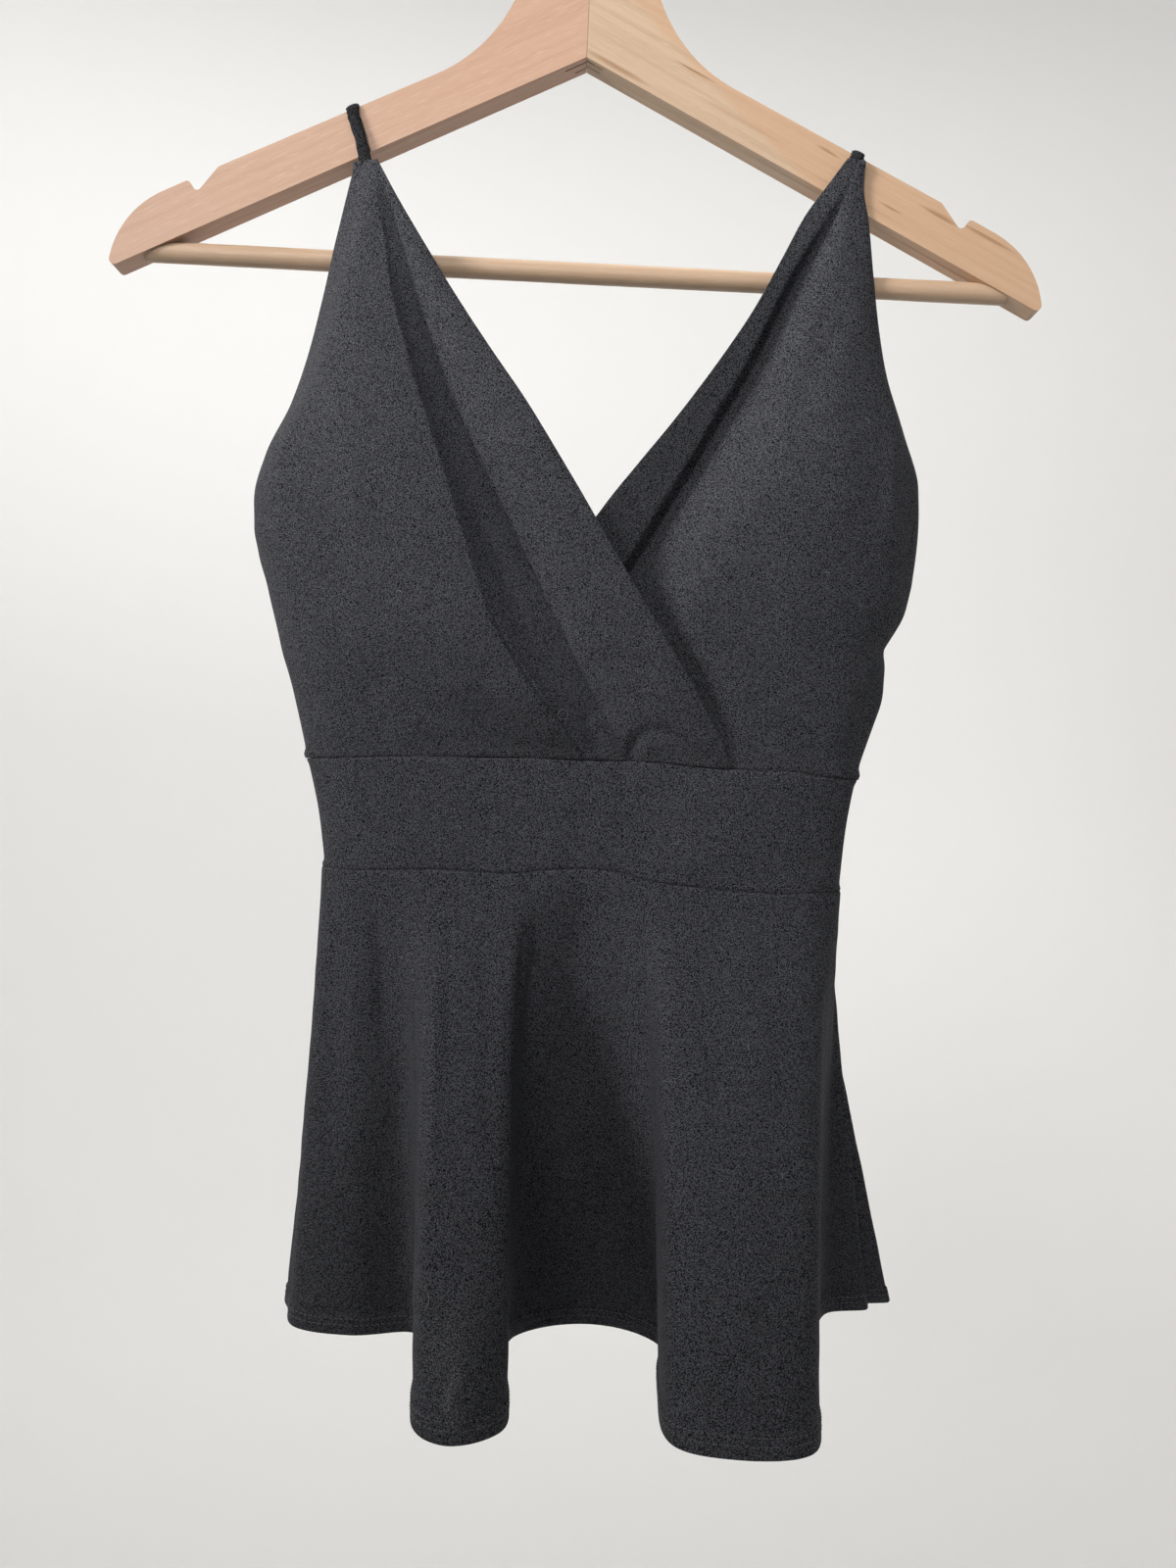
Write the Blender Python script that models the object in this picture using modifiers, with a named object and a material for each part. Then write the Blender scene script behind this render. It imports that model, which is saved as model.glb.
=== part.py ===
# A sleeveless wrap-front blouse with thin straps, a waistband and a flared peplum, on a wooden hanger.
# Right and left are the wearer's: the front faces -Y, so the wearer's right is -X.
# The origin is the inner crown of the hanger's hook. Every size below is in millimetres.

import math

import bmesh
import bpy
import numpy as np

MM = 0.001
WELD = 0.00001

# ---------------------------------------------------------------- cloth sizes
CLOTH = 1.3            # wall of every cloth panel
SEAM_GAP = 0.3         # between two pieces where they are sewn together
SEAM_STRAIGHT = 0.7    # cloth runs straight into a seam for this far
WRAP_LIFT = 2.2        # the over panel's middle surface stands this far in front of the under panel's
WRAP_CLEAR = 2.0       # and never comes closer to it than this
BAND_TOP = -467.0
BAND_BOTTOM = -519.0
HEM = -736.0
SIDE_ROUND = 6         # a higher power makes the sections flatter, with tighter rounds at the sides
FRONT_ROWS = 23        # rows of points down each front panel
SIDE_COLUMNS = 10      # columns from a pleat to the side seam
PLEAT_COLUMNS = 5      # from the pleat's ridge to its valley
STRIP_COLUMNS = 6      # from there to the neckline
BACK_ROWS = 9
BACK_COLUMNS = 17
BAND_ROWS = 5
BAND_COLUMNS = 19
PEPLUM_ROWS = 10
FOLD_COLUMNS = 3       # columns from one fold point of the peplum to the next
STRAP_STEPS = 3        # rows of points between two points of a strap's route

# Level sections through the body: where the sides are, how far the side edges stand from the
# hanger's middle plane, and how far the front and the back stand out from there.
BODY = (
    # height, right_side, left_side, side_y, front, back
    (-172.0, -105.5, 133.8, -9.2, 1.6, 9.0),
    (-184.5, -106.8, 134.1, -8.5, 2.5, 9.0),
    (-200.0, -109.9, 137.4, -7.7, 5.0, 9.0),
    (-225.0, -114.9, 141.1, -6.8, 9.0, 10.0),
    (-250.0, -119.6, 145.3, -5.1, 14.0, 11.0),
    (-275.0, -125.0, 151.0, -3.9, 18.0, 12.0),
    (-300.0, -132.5, 160.3, -2.6, 22.0, 13.0),
    (-325.0, -143.7, 168.7, -1.4, 25.5, 13.0),
    (-345.0, -148.3, 169.9, -0.5, 26.5, 13.0),
    (-370.0, -145.2, 168.4, 0.0, 26.0, 13.0),
    (-400.0, -136.1, 159.5, 0.0, 25.0, 12.0),
    (-435.0, -125.2, 154.5, 0.0, 22.0, 11.0),
    (-467.0, -116.5, 146.1, 0.0, 18.5, 10.0),
    (-493.0, -110.0, 142.4, 0.0, 17.5, 10.0),
    (-519.0, -105.7, 140.7, 0.0, 17.0, 10.0),
)

# The over panel, which covers the wearer's right: a soft pleat runs down from the strap. Its ridge
# stands forward, the valley beside it lies back, and the strip along the neckline comes forward again.
OVER = (
    # height, ridge, valley, neckline, ridge_out, strip_out
    (-184.5, -102.0, -99.0, -96.0, 0.0, 0.0),
    (-200.0, -96.0, -91.0, -87.0, 1.2, 0.7),
    (-225.0, -89.4, -81.5, -71.4, 3.6, 2.2),
    (-250.0, -84.3, -72.3, -55.3, 6.0, 3.8),
    (-275.0, -76.5, -62.5, -37.9, 8.0, 5.2),
    (-300.0, -67.8, -52.0, -19.6, 9.6, 6.2),
    (-325.0, -58.3, -39.5, -2.9, 10.8, 6.8),
    (-345.0, -49.6, -28.5, 10.3, 11.6, 7.0),
    (-370.0, -38.7, -15.4, 26.4, 12.2, 7.0),
    (-400.0, -27.4, 2.2, 45.2, 12.4, 6.4),
    (-435.0, -9.4, 20.4, 67.2, 11.0, 4.8),
    (-452.0, 2.6, 28.6, 77.4, 7.6, 3.2),
    (-467.0, 16.5, 36.0, 85.5, 2.0, 0.8),
)

# The under panel, which covers the wearer's left: the strip along its neckline lies back, and past a
# deep crease the broad part stands forward. Below the wrap it runs on behind the over panel.
UNDER = (
    # height, neckline, crease, broad_out
    (-172.0, 126.0, 129.5, 0.0),
    (-184.5, 117.7, 125.0, 1.6),
    (-200.0, 107.6, 116.0, 3.0),
    (-225.0, 95.9, 102.6, 4.0),
    (-250.0, 83.9, 91.8, 4.6),
    (-275.0, 69.1, 81.0, 5.0),
    (-300.0, 52.7, 67.9, 5.0),
    (-325.0, 34.7, 55.0, 4.8),
    (-345.0, 20.0, 43.9, 4.2),
    (-370.0, 4.0, 30.2, 2.6),
    (-400.0, -15.0, 12.0, 0.8),
    (-435.0, -36.0, -10.0, 0.0),
    (-467.0, -54.0, -28.0, 0.0),
)
STEP_WIDTH = 14.0      # the under panel steps forward within this width past its crease
BROAD_FADE = 60.0      # the broad parts come back to the plain front over this width
SIDE_FADE = 16.0       # the over panel comes back to the side seam over this width
COVER_MARGIN = 4.0     # the over panel starts to clear the under panel this far before its neckline
PLEAT_FALL = (
    # share of the way from the ridge to the valley, share of the ridge's height that is lost
    (0.0, 0.0), (0.03, 0.03), (0.5, 0.62), (0.97, 0.985), (1.0, 1.0),
)

# The two waist seams bow up a little towards the middle.
WAIST_SEAMS = (
    # across, upper, lower
    (-116.0, -468.2, -518.9),
    (-40.0, -464.6, -517.0),
    (45.0, -463.2, -516.4),
    (146.0, -465.6, -519.0),
)

BACK_SIDE_TOP = -343.0
BACK_DIP = 12.0        # the back's top edge is this much lower in the middle

# The peplum is cut on a curve, so it hangs in flutes. Each row is one fold point: how far round the
# waistband it starts, from the right side seam over the front (0 to 50) and round the back (50 to
# 100), and where it reaches the hem.
PEPLUM = (
    # place, round_waist, hem_x, hem_y
    ("right side seam", 0.0, -113.0, 3.0),
    ("right front corner", 1.8, -107.0, -13.0),
    ("flat part", 4.8, -80.0, -19.5),
    ("valley", 7.4, -50.0, -14.0),
    ("first flute, right wall", 8.4, -43.0, -55.0),
    ("first flute, right corner", 9.8, -37.0, -97.0),
    ("first flute, front", 14.2, -22.5, -106.3),
    ("first flute, left corner", 19.0, -5.0, -94.0),
    ("first flute, left wall", 20.5, -2.5, -55.0),
    ("recess, right", 21.9, -4.0, -13.0),
    ("recess, middle", 26.4, 31.0, 5.0),
    ("recess, left", 30.6, 65.0, -13.0),
    ("second flute, right wall", 31.7, 62.5, -57.0),
    ("second flute, right corner", 33.2, 66.0, -98.0),
    ("second flute, front", 39.6, 92.0, -105.6),
    ("second flute, left corner", 46.4, 119.5, -99.0),
    ("second flute, left wall", 47.8, 128.0, -58.0),
    ("left front valley", 48.8, 136.0, -8.0),
    ("left side seam", 50.0, 143.5, 14.0),
    ("side flute, front", 50.5, 153.5, 31.0),
    ("side flute, fold", 51.2, 174.5, 36.5),
    ("side flute, back", 51.8, 164.0, 41.5),
    ("back flute, fold", 52.6, 188.5, 46.5),
    ("back flute, back", 56.5, 176.0, 54.0),
    ("back valley, left", 62.0, 150.0, 46.0),
    ("back wave, left", 68.0, 118.0, 57.0),
    ("back valley, left of middle", 74.0, 84.0, 43.0),
    ("back wave, middle", 79.0, 50.0, 57.0),
    ("back valley, right of middle", 84.0, 14.0, 43.0),
    ("back wave, right", 89.0, -22.0, 56.0),
    ("back valley, right", 93.5, -58.0, 43.0),
    ("right back corner", 97.0, -94.0, 42.0),
    ("right side flute", 98.9, -117.0, 17.0),
)
SIDE_SEAMS = ("right side seam", "left side seam")
WAIST_SAMPLES = 120
FLARE_START = 0.12     # share of the peplum's length over which it eases out of the waistband
SEAM_EASE = 0.4        # the last share of a panel's rows, over which they bend to meet the waist seam

# ---------------------------------------------------------------- strap sizes
STRAP_WIDTH = 6.5
STRAP_THICK = 1.9
STRAP_TWIST = 5.0      # a strap turns to the arm's slope over this height

# From the panel's tip up the front of the arm, over it and down behind. Only the last point's x is
# given, because it lies on the back's top edge.
STRAP_RIGHT = (
    # x, y, z
    (-101.4, -9.6, -184.2),
    (-104.0, -9.0, -177.0),
    (-108.2, -8.0, -165.0),
    (-109.6, -7.9, -161.0),
    (-110.2, -6.6, -157.4),
    (-110.3, 0.0, -156.2),
    (-110.0, 6.6, -157.4),
    (-109.5, 7.9, -161.0),
    (-108.0, 8.0, -168.0),
    (-95.0, 11.0, -250.0),
    (-80.0, None, None),
)
STRAP_LEFT = (
    (129.9, -9.9, -171.6),
    (130.2, -9.8, -170.7),
    (131.0, -8.9, -169.0),
    (131.9, -6.6, -167.6),
    (132.5, 0.0, -166.4),
    (132.2, 6.8, -168.0),
    (131.8, 7.9, -172.0),
    (131.0, 8.0, -179.0),
    (118.0, 11.0, -255.0),
    (102.0, None, None),
)

# ---------------------------------------------------------------- hanger sizes
ARM_THICK = 12.5
ARM_EDGE_ROUND = 1.5
ARM_EDGE_STEPS = 2
SHARP_EDGE = math.radians(60.0)
ARM_SLOPE = 0.486      # fall of the arm's top edge over its run
JOINT_GAP = 0.3        # glue line between the two arms
ROD_RADIUS = 4.9
ROD_HEIGHT = -228.4
ROD_END = 207.0
ROD_SIDES = 20
FIT = 0.3              # between a rod or stem and the hole that it is seated in
ARC_STEP = math.radians(9.0)

# Corners of one arm, from the joint along the underside to the tip and back over the top, each with
# the radius that rounds it. The notch near the tip holds a strap from sliding off.
ARM = (
    # place, x, z, radius
    ("underside at the joint", JOINT_GAP / 2, -127.9, 0.0),
    ("tip", 223.6, -239.7, 2.5),
    ("end", 218.2, -211.6, 44.0),
    ("notch, outer lip", 186.6, -195.8, 2.0),
    ("notch, bottom", 182.6, -202.0, 2.2),
    ("notch, inner lip", 172.7, -188.8, 1.5),
    ("neck", 40.0, -124.3, 74.0),
    ("shoulder of the neck", 27.6, -75.0, 8.0),
    ("top at the joint", JOINT_GAP / 2, -75.0, 0.0),
)

WIRE_RADIUS = 2.0
HOOK_INSIDE = 19.0     # inner radius of the hook
HOOK_ENTRY = -50.0     # where the stem's bend meets the hook's circle, in degrees
HOOK_TIP = 205.0       # where the wire ends, in degrees
STEM_TOP = -58.0
STEM_END = -96.7
STEM_HOLE = 40.0       # length of the tool that cuts the stem's hole, up and out of the wood
STEM_HOLE_SIDES = 16
WIRE_STEP = 9.0        # degrees between points round the hook
BEND_UP = 11.0         # how far the stem keeps its direction as it bends over
BEND_IN = 9.0          # and how far the circle keeps its own
BEND_STEPS = 9
WIRE_ROUND_STEPS = 2

# ---------------------------------------------------------------- colours
BLACK_CREPE = (0.033, 0.034, 0.038)
WOOD_ROSY = (0.72, 0.43, 0.29)
WOOD_PALE = (0.66, 0.45, 0.28)
WOOD_ROD = (0.66, 0.45, 0.31)
STEEL = (0.62, 0.62, 0.64)


# ---------------------------------------------------------------- scene and helpers
def clear_scene():
    for obj in list(bpy.data.objects):
        bpy.data.objects.remove(obj, do_unlink=True)


def new_collection(name):
    collection = bpy.data.collections.new(name)
    bpy.context.scene.collection.children.link(collection)
    return collection


def move_to(obj, collection):
    for old in list(obj.users_collection):
        old.objects.unlink(obj)
    collection.objects.link(obj)


def principled(name, colour, roughness, metallic=0.0):
    material = bpy.data.materials.new(name)
    material.use_nodes = True
    shader = material.node_tree.nodes["Principled BSDF"]
    shader.inputs["Base Color"].default_value = (*colour, 1.0)
    shader.inputs["Roughness"].default_value = roughness
    shader.inputs["Metallic"].default_value = metallic
    return material


def smooth_curve(rows, column):
    """A smooth curve through one column of a table against its first, with no overshoot."""
    ordered = sorted((row[0], row[column]) for row in rows)
    at = np.array([row[0] for row in ordered])
    value = np.array([row[1] for row in ordered])
    width = np.diff(at)
    slope = np.diff(value) / width
    tangent = np.zeros(len(at))
    tangent[0], tangent[-1] = slope[0], slope[-1]
    for i in range(1, len(at) - 1):
        before, after = slope[i - 1], slope[i]
        if before * after > 0:
            a = 2 * width[i] + width[i - 1]
            b = width[i] + 2 * width[i - 1]
            tangent[i] = (a + b) / (a / before + b / after)

    def read(x):
        x = np.clip(x, at[0], at[-1])
        i = np.clip(np.searchsorted(at, x) - 1, 0, len(at) - 2)
        t = (x - at[i]) / width[i]
        return (value[i] * (1 + 2 * t) * (1 - t) ** 2 + tangent[i] * width[i] * t * (1 - t) ** 2
                + value[i + 1] * t ** 2 * (3 - 2 * t) + tangent[i + 1] * width[i] * t ** 2 * (t - 1))

    return read


def ease(t):
    t = np.clip(t, 0.0, 1.0)
    return t * t * (3 - 2 * t)


def between(p, q, start, end, t):
    return ((end - t) * p + (t - start) * q) / (end - start)


def spline(points, per_segment, closed=False):
    """Points on a centripetal Catmull-Rom curve through the given ones."""
    points = np.asarray(points, float)
    if closed:
        ring = np.vstack([points[-1], points, points[0], points[1]])
    else:
        ring = np.vstack([2 * points[0] - points[1], points, 2 * points[-1] - points[-2]])
    out = []
    for start in range(len(ring) - 3):
        p = ring[start:start + 4]
        k = np.concatenate([[0], np.cumsum(np.linalg.norm(np.diff(p, axis=0), axis=1) ** 0.5)])
        for t in np.linspace(k[1], k[2], per_segment, endpoint=False):
            a = [between(p[j], p[j + 1], k[j], k[j + 1], t) for j in range(3)]
            b = [between(a[j], a[j + 1], k[j], k[j + 2], t) for j in range(2)]
            out.append(between(b[0], b[1], k[1], k[2], t))
    if not closed:
        out.append(points[-1])
    return np.array(out)


right_side = smooth_curve(BODY, 1)
left_side = smooth_curve(BODY, 2)
side_y = smooth_curve(BODY, 3)
front_out = smooth_curve(BODY, 4)
back_out = smooth_curve(BODY, 5)
over_ridge = smooth_curve(OVER, 1)
over_valley = smooth_curve(OVER, 2)
over_neckline = smooth_curve(OVER, 3)
ridge_out = smooth_curve(OVER, 4)
strip_out = smooth_curve(OVER, 5)
under_neckline = smooth_curve(UNDER, 1)
under_crease = smooth_curve(UNDER, 2)
broad_out = smooth_curve(UNDER, 3)
pleat_fall = smooth_curve(PLEAT_FALL, 1)
upper_seam = smooth_curve(WAIST_SEAMS, 1)
lower_seam = smooth_curve(WAIST_SEAMS, 2)


# ---------------------------------------------------------------- the cloth's form
def roundness(x, z):
    """0 at the two sides, close to 1 over the middle of a level section."""
    across = np.clip((x - right_side(z)) / (left_side(z) - right_side(z)), 0.0, 1.0)
    return np.sqrt(1 - np.abs(2 * across - 1) ** SIDE_ROUND)


def plain_front(x, z):
    return side_y(z) - front_out(z) * roundness(x, z)


def plain_back(x, z):
    return side_y(z) + back_out(z) * roundness(x, z)


def under_front(x, z):
    """The under panel: back along its neckline, forward past the crease, plain at its side."""
    past = (x - under_crease(z)) / STEP_WIDTH
    fade = ease((left_side(z) - x) / BROAD_FADE)
    return plain_front(x, z) - broad_out(z) * ease(past) * fade


def over_front(x, z):
    """The over panel: ridge, valley and neckline strip, always in front of the under panel."""
    at_side = ease((x - right_side(z)) / SIDE_FADE)
    before = np.exp(-(np.minimum(x - over_ridge(z), 0) / BROAD_FADE) ** 2)
    past = (x - over_ridge(z)) / (over_valley(z) - over_ridge(z))
    ridge = ridge_out(z) * before * (1 - pleat_fall(past))
    across = np.clip((x - over_valley(z)) / (over_neckline(z) - over_valley(z)), 0.0, 1.0)
    strip = strip_out(z) * (1 - (1 - across) ** 2)
    own = plain_front(x, z) - at_side * (WRAP_LIFT + ridge + strip)
    covered = x > under_neckline(z) - COVER_MARGIN
    return np.where(covered, np.minimum(own, under_front(x, z) - WRAP_CLEAR), own)


# ---------------------------------------------------------------- grids of cloth
def from_side(count):
    """Shares from 0 to 1 that lie close together at 0, where a section turns round the side."""
    return 1 - np.cos(np.linspace(0.0, math.pi / 2, count))


def rows_to_seam(top, bottom, count):
    """Heights from a free edge down to a seam, with one just above the seam."""
    heights = np.linspace(top, bottom, count)
    return np.append(heights[:-1], [bottom + SEAM_STRAIGHT, bottom])


def cloth_object(name, grid, thickness, material, collection):
    """A grid primitive takes the given points, row by row, and gets its wall."""
    rows, columns, _ = grid.shape
    bpy.ops.mesh.primitive_grid_add(x_subdivisions=columns - 1, y_subdivisions=rows - 1)
    obj = bpy.context.active_object
    obj.name = obj.data.name = name
    obj.data.vertices.foreach_set("co", (grid * MM).reshape(-1))
    obj.data.materials.append(material)
    wall = obj.modifiers.new("wall", "SOLIDIFY")
    wall.thickness = thickness * MM
    wall.offset = 0.0
    wall.use_even_offset = True
    obj.data.shade_smooth()
    move_to(obj, collection)
    return obj


def to_upper_seam(x, z, share):
    """Lowers or raises a row's points so that the last row lies on the upper waist seam."""
    near = ease(1 - (1 - share) / SEAM_EASE)
    return z + (upper_seam(x) + SEAM_GAP / 2 - BAND_TOP) * near


def panel_grid(heights, section):
    """Rows of points; section(z) gives the x positions and the surface that they lie on."""
    grid = []
    for z in heights:
        level = max(z, BAND_TOP + SEAM_STRAIGHT)
        x, y = section(level)
        share = (z - heights[0]) / (heights[-1] - heights[0])
        grid.append(np.stack([x, y, to_upper_seam(x, z, share)], axis=1))
    return np.array(grid)


def with_side_return(x, y, at_start):
    """Adds the point where the cloth runs straight back into the side seam."""
    if at_start:
        return np.insert(x, 0, x[0]), np.insert(y, 0, y[0] + SEAM_STRAIGHT)
    return np.append(x, x[-1]), np.append(y, y[-1] + SEAM_STRAIGHT)


def over_section(z):
    side, ridge, valley, neck = right_side(z), over_ridge(z), over_valley(z), over_neckline(z)
    x = np.concatenate([
        side + (ridge - side) * from_side(SIDE_COLUMNS),
        np.linspace(ridge, valley, PLEAT_COLUMNS)[1:],
        np.linspace(valley, neck, STRIP_COLUMNS)[1:],
    ])
    return with_side_return(x, over_front(x, z), at_start=True)


def under_section(z):
    side, crease, neck = left_side(z), under_crease(z), under_neckline(z)
    top = crease + min(STEP_WIDTH, 0.5 * (side - crease))
    x = np.concatenate([
        np.linspace(neck, crease, 4),
        [(crease + top) / 2, top],
        side - (side - top) * from_side(SIDE_COLUMNS)[::-1][1:],
    ])
    return with_side_return(x, under_front(x, z), at_start=False)


def back_top(x):
    """The back's free top edge, lower in the middle."""
    z = BACK_SIDE_TOP
    across = (x - right_side(z)) / (left_side(z) - right_side(z))
    return z - BACK_DIP * (1 - (2 * across - 1) ** 2)


def full_width(count):
    """Shares from 0 to 1 that lie close together at both ends."""
    return (1 - np.cos(np.linspace(0.0, math.pi, count))) / 2


def back_y(x, z):
    """The back starts past the side seam: two straight returns and the gap between them."""
    return plain_back(x, z) + 2 * SEAM_STRAIGHT + SEAM_GAP


def back_row(x, level, z):
    """One row of points from side to side, with its straight returns towards the front."""
    row = np.stack([x, back_y(x, level), z], axis=1)
    forward = np.array([0.0, SEAM_STRAIGHT, 0.0])
    return np.vstack([row[0] - forward, row, row[-1] - forward])


def back_grid():
    """Rows from the dipped top edge to the upper waist seam, the full width of the back."""
    across = full_width(BACK_COLUMNS)
    width = left_side(BACK_SIDE_TOP) - right_side(BACK_SIDE_TOP)
    top = back_top(right_side(BACK_SIDE_TOP) + width * across)
    grid = []
    near_seam = 1 - SEAM_STRAIGHT / (BACK_SIDE_TOP - BAND_TOP)
    for share in np.append(np.linspace(0.0, 1.0, BACK_ROWS)[:-1], [near_seam, 1.0]):
        z = top + (BAND_TOP - top) * share
        level = np.maximum(z, BAND_TOP + SEAM_STRAIGHT)
        x = right_side(level) + (left_side(level) - right_side(level)) * across
        grid.append(back_row(x, level, to_upper_seam(x, z, share)))
    return np.array(grid)


def band_grid(front):
    """One half of the waistband, between the two waist seams, with a row close to each."""
    across = full_width(BAND_COLUMNS)
    near_seam = SEAM_STRAIGHT / (BAND_TOP - BAND_BOTTOM)
    grid = []
    for share in np.concatenate([[0.0], np.linspace(near_seam, 1 - near_seam, BAND_ROWS), [1.0]]):
        level = BAND_TOP + (BAND_BOTTOM - BAND_TOP) * np.clip(share, near_seam, 1 - near_seam)
        x = right_side(level) + (left_side(level) - right_side(level)) * across
        high = upper_seam(x) - SEAM_GAP / 2
        low = lower_seam(x) + SEAM_GAP / 2
        z = high + (low - high) * share
        if front:
            x, y = with_side_return(x, plain_front(x, level), at_start=True)
            x, y = with_side_return(x, y, at_start=False)
            grid.append(np.stack([x, y, np.concatenate([z[:1], z, z[-1:]])], axis=1))
        else:
            grid.append(back_row(x, level, z))
    return np.array(grid)


def waist_loop():
    """The lower edge of the waistband, from the right side seam round the front and the back."""
    z = BAND_BOTTOM
    x = right_side(z) + (left_side(z) - right_side(z)) * full_width(WAIST_SAMPLES)
    seam_y = side_y(z) + SEAM_STRAIGHT + SEAM_GAP / 2
    right, left = np.array([x[0], seam_y]), np.array([x[-1], seam_y])
    front = np.vstack([right, np.stack([x, plain_front(x, z)], axis=1), left])
    back = np.vstack([left, np.stack([x, back_y(x, z)], axis=1)[::-1], right])
    return front, back


def at_share(path, share):
    """Points at shares of a path's length."""
    run = np.concatenate([[0], np.cumsum(np.linalg.norm(np.diff(path, axis=0), axis=1))])
    return np.stack([np.interp(share * run[-1], run, path[:, i]) for i in (0, 1)], axis=1)


def round_waist(percent):
    """The place at the waistband's lower edge, 0 to 50 over the front and 50 to 100 round the back."""
    front, back = waist_loop()
    on_front = at_share(front, np.clip(percent / 50, 0, 1))
    on_back = at_share(back, np.clip(percent / 50 - 1, 0, 1))
    return np.where(percent[:, None] <= 50, on_front, on_back)


def flare(share):
    """How far a point has gone from the waist to the hem: slow at first, then steady."""
    def run(t):
        return t - FLARE_START * (1 - np.exp(-t / FLARE_START))
    return run(share) / run(1.0)


def seam_ends(row, tangent_start, tangent_end):
    """Draws a row's two ends in by half the seam gap, with a straight stretch before each."""
    near, far = SEAM_GAP / 2, SEAM_GAP / 2 + SEAM_STRAIGHT
    start = [row[0] + tangent_start * near, row[0] + tangent_start * far]
    end = [row[-1] - tangent_end * far, row[-1] - tangent_end * near]
    return np.vstack([start, row[1:-1], end])


def unit(vector):
    return vector / np.linalg.norm(vector)


def peplum_grid(first, last):
    """The peplum between two of its fold points, from the waistband to the hem."""
    places = [row[0] for row in PEPLUM]
    hem = spline([row[2:4] for row in PEPLUM], FOLD_COLUMNS, closed=True)
    percents = [row[1] for row in PEPLUM] + [100.0]
    percent = np.interp(np.arange(len(hem)) / FOLD_COLUMNS, np.arange(len(percents)), percents)
    waist = round_waist(percent)
    begin = places.index(first) * FOLD_COLUMNS
    end = places.index(last) * FOLD_COLUMNS or len(hem)
    index = np.arange(begin - 1, end + 2) % len(hem)
    hem, waist = hem[index], waist[index]
    waist_top = lower_seam(waist[:, 0]) - SEAM_GAP / 2
    drop = waist_top - HEM
    grid = []
    for share in np.concatenate([[0.0], np.linspace(0.0, 1.0, PEPLUM_ROWS)]):
        flat = waist + (hem - waist) * flare(share)
        below = SEAM_STRAIGHT if grid else 0.0
        z = waist_top - below - (drop - below) * share
        row = np.stack([flat[:, 0], flat[:, 1], z], axis=1)
        level = np.array([1.0, 1.0, 0.0])
        start = unit((row[2] - row[0]) * level)
        stop = unit((row[-1] - row[-3]) * level)
        grid.append(seam_ends(row[1:-1], start, stop))
    return np.array(grid)


def strap_grid(route):
    """A flat band along a route, level on the cloth and turned to the arm's slope on top of it."""
    end_x = route[-1][0]
    highest = max(back_top(end_x - STRAP_WIDTH / 2), back_top(end_x + STRAP_WIDTH / 2))
    end = (end_x, back_y(end_x, BACK_SIDE_TOP), highest + SEAM_GAP)
    path = spline(list(route[:-1]) + [end], STRAP_STEPS)
    top = path[:, 2].max()
    fall = -math.copysign(math.atan(ARM_SLOPE), end_x)
    turn = fall * ease(1 - (top - path[:, 2]) / STRAP_TWIST)
    across = np.stack([np.cos(turn), np.zeros(len(path)), np.sin(turn)], axis=1)
    return np.array([[point + side * step * STRAP_WIDTH for step in (-0.5, 0.0, 0.5)]
                     for point, side in zip(path, across)])


# ---------------------------------------------------------------- the hanger
def rounded_outline(corners):
    """A closed outline with each corner rounded to its radius."""
    points = []
    for i, (_, x, z, radius) in enumerate(corners):
        corner = np.array([x, z])
        before = unit(np.array(corners[i - 1][1:3]) - corner)
        after = unit(np.array(corners[(i + 1) % len(corners)][1:3]) - corner)
        turn = math.pi - math.acos(float(np.dot(before, after)))
        if radius == 0:
            points.append(corner)
            continue
        reach = radius * math.tan(turn / 2)
        centre = corner + unit(before + after) * radius / math.cos(turn / 2)
        start, stop = corner + before * reach - centre, corner + after * reach - centre
        steps = max(2, round(turn / ARC_STEP))
        for share in np.linspace(0.0, 1.0, steps + 1):
            spoke = (math.sin((1 - share) * turn) * start + math.sin(share * turn) * stop)
            points.append(centre + spoke / math.sin(turn))
    return points


def curve_object(name, points, cyclic, dimensions):
    curve = bpy.data.curves.new(name, "CURVE")
    curve.dimensions = dimensions
    line = curve.splines.new("POLY")
    line.points.add(len(points) - 1)
    for point, place in zip(line.points, points):
        point.co = (*(value * MM for value in place), 1.0)
    line.use_cyclic_u = cyclic
    obj = bpy.data.objects.new(name, curve)
    bpy.context.scene.collection.objects.link(obj)
    return obj


def as_mesh(obj):
    """Swaps a curve object for a mesh object of the same name, its caps welded on, its faces out."""
    bpy.context.view_layer.update()
    evaluated = obj.evaluated_get(bpy.context.evaluated_depsgraph_get())
    mesh = bpy.data.meshes.new_from_object(evaluated)
    name, place = obj.name, obj.matrix_world.copy()
    bpy.data.objects.remove(obj, do_unlink=True)
    shape = bmesh.new()
    shape.from_mesh(mesh)
    bmesh.ops.remove_doubles(shape, verts=shape.verts, dist=WELD)
    bmesh.ops.recalc_face_normals(shape, faces=shape.faces)
    shape.to_mesh(mesh)
    shape.free()
    solid = bpy.data.objects.new(name, mesh)
    solid.matrix_world = place
    bpy.context.scene.collection.objects.link(solid)
    return solid


def as_cutter(obj, name, collection):
    obj.name = name
    obj.hide_render = True
    obj.display_type = "WIRE"
    move_to(obj, collection)
    return obj


def cut(obj, cutter):
    modifier = obj.modifiers.new(cutter.name, "BOOLEAN")
    modifier.operation = "DIFFERENCE"
    modifier.object = cutter
    modifier.solver = "EXACT"


def rod_shape(radius, end):
    """A level rod under the arms, from side to side."""
    bpy.ops.mesh.primitive_cylinder_add(
        vertices=ROD_SIDES, radius=radius * MM, depth=2 * end * MM,
        location=(0, 0, ROD_HEIGHT * MM), rotation=(0, math.pi / 2, 0))
    return bpy.context.active_object


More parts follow.
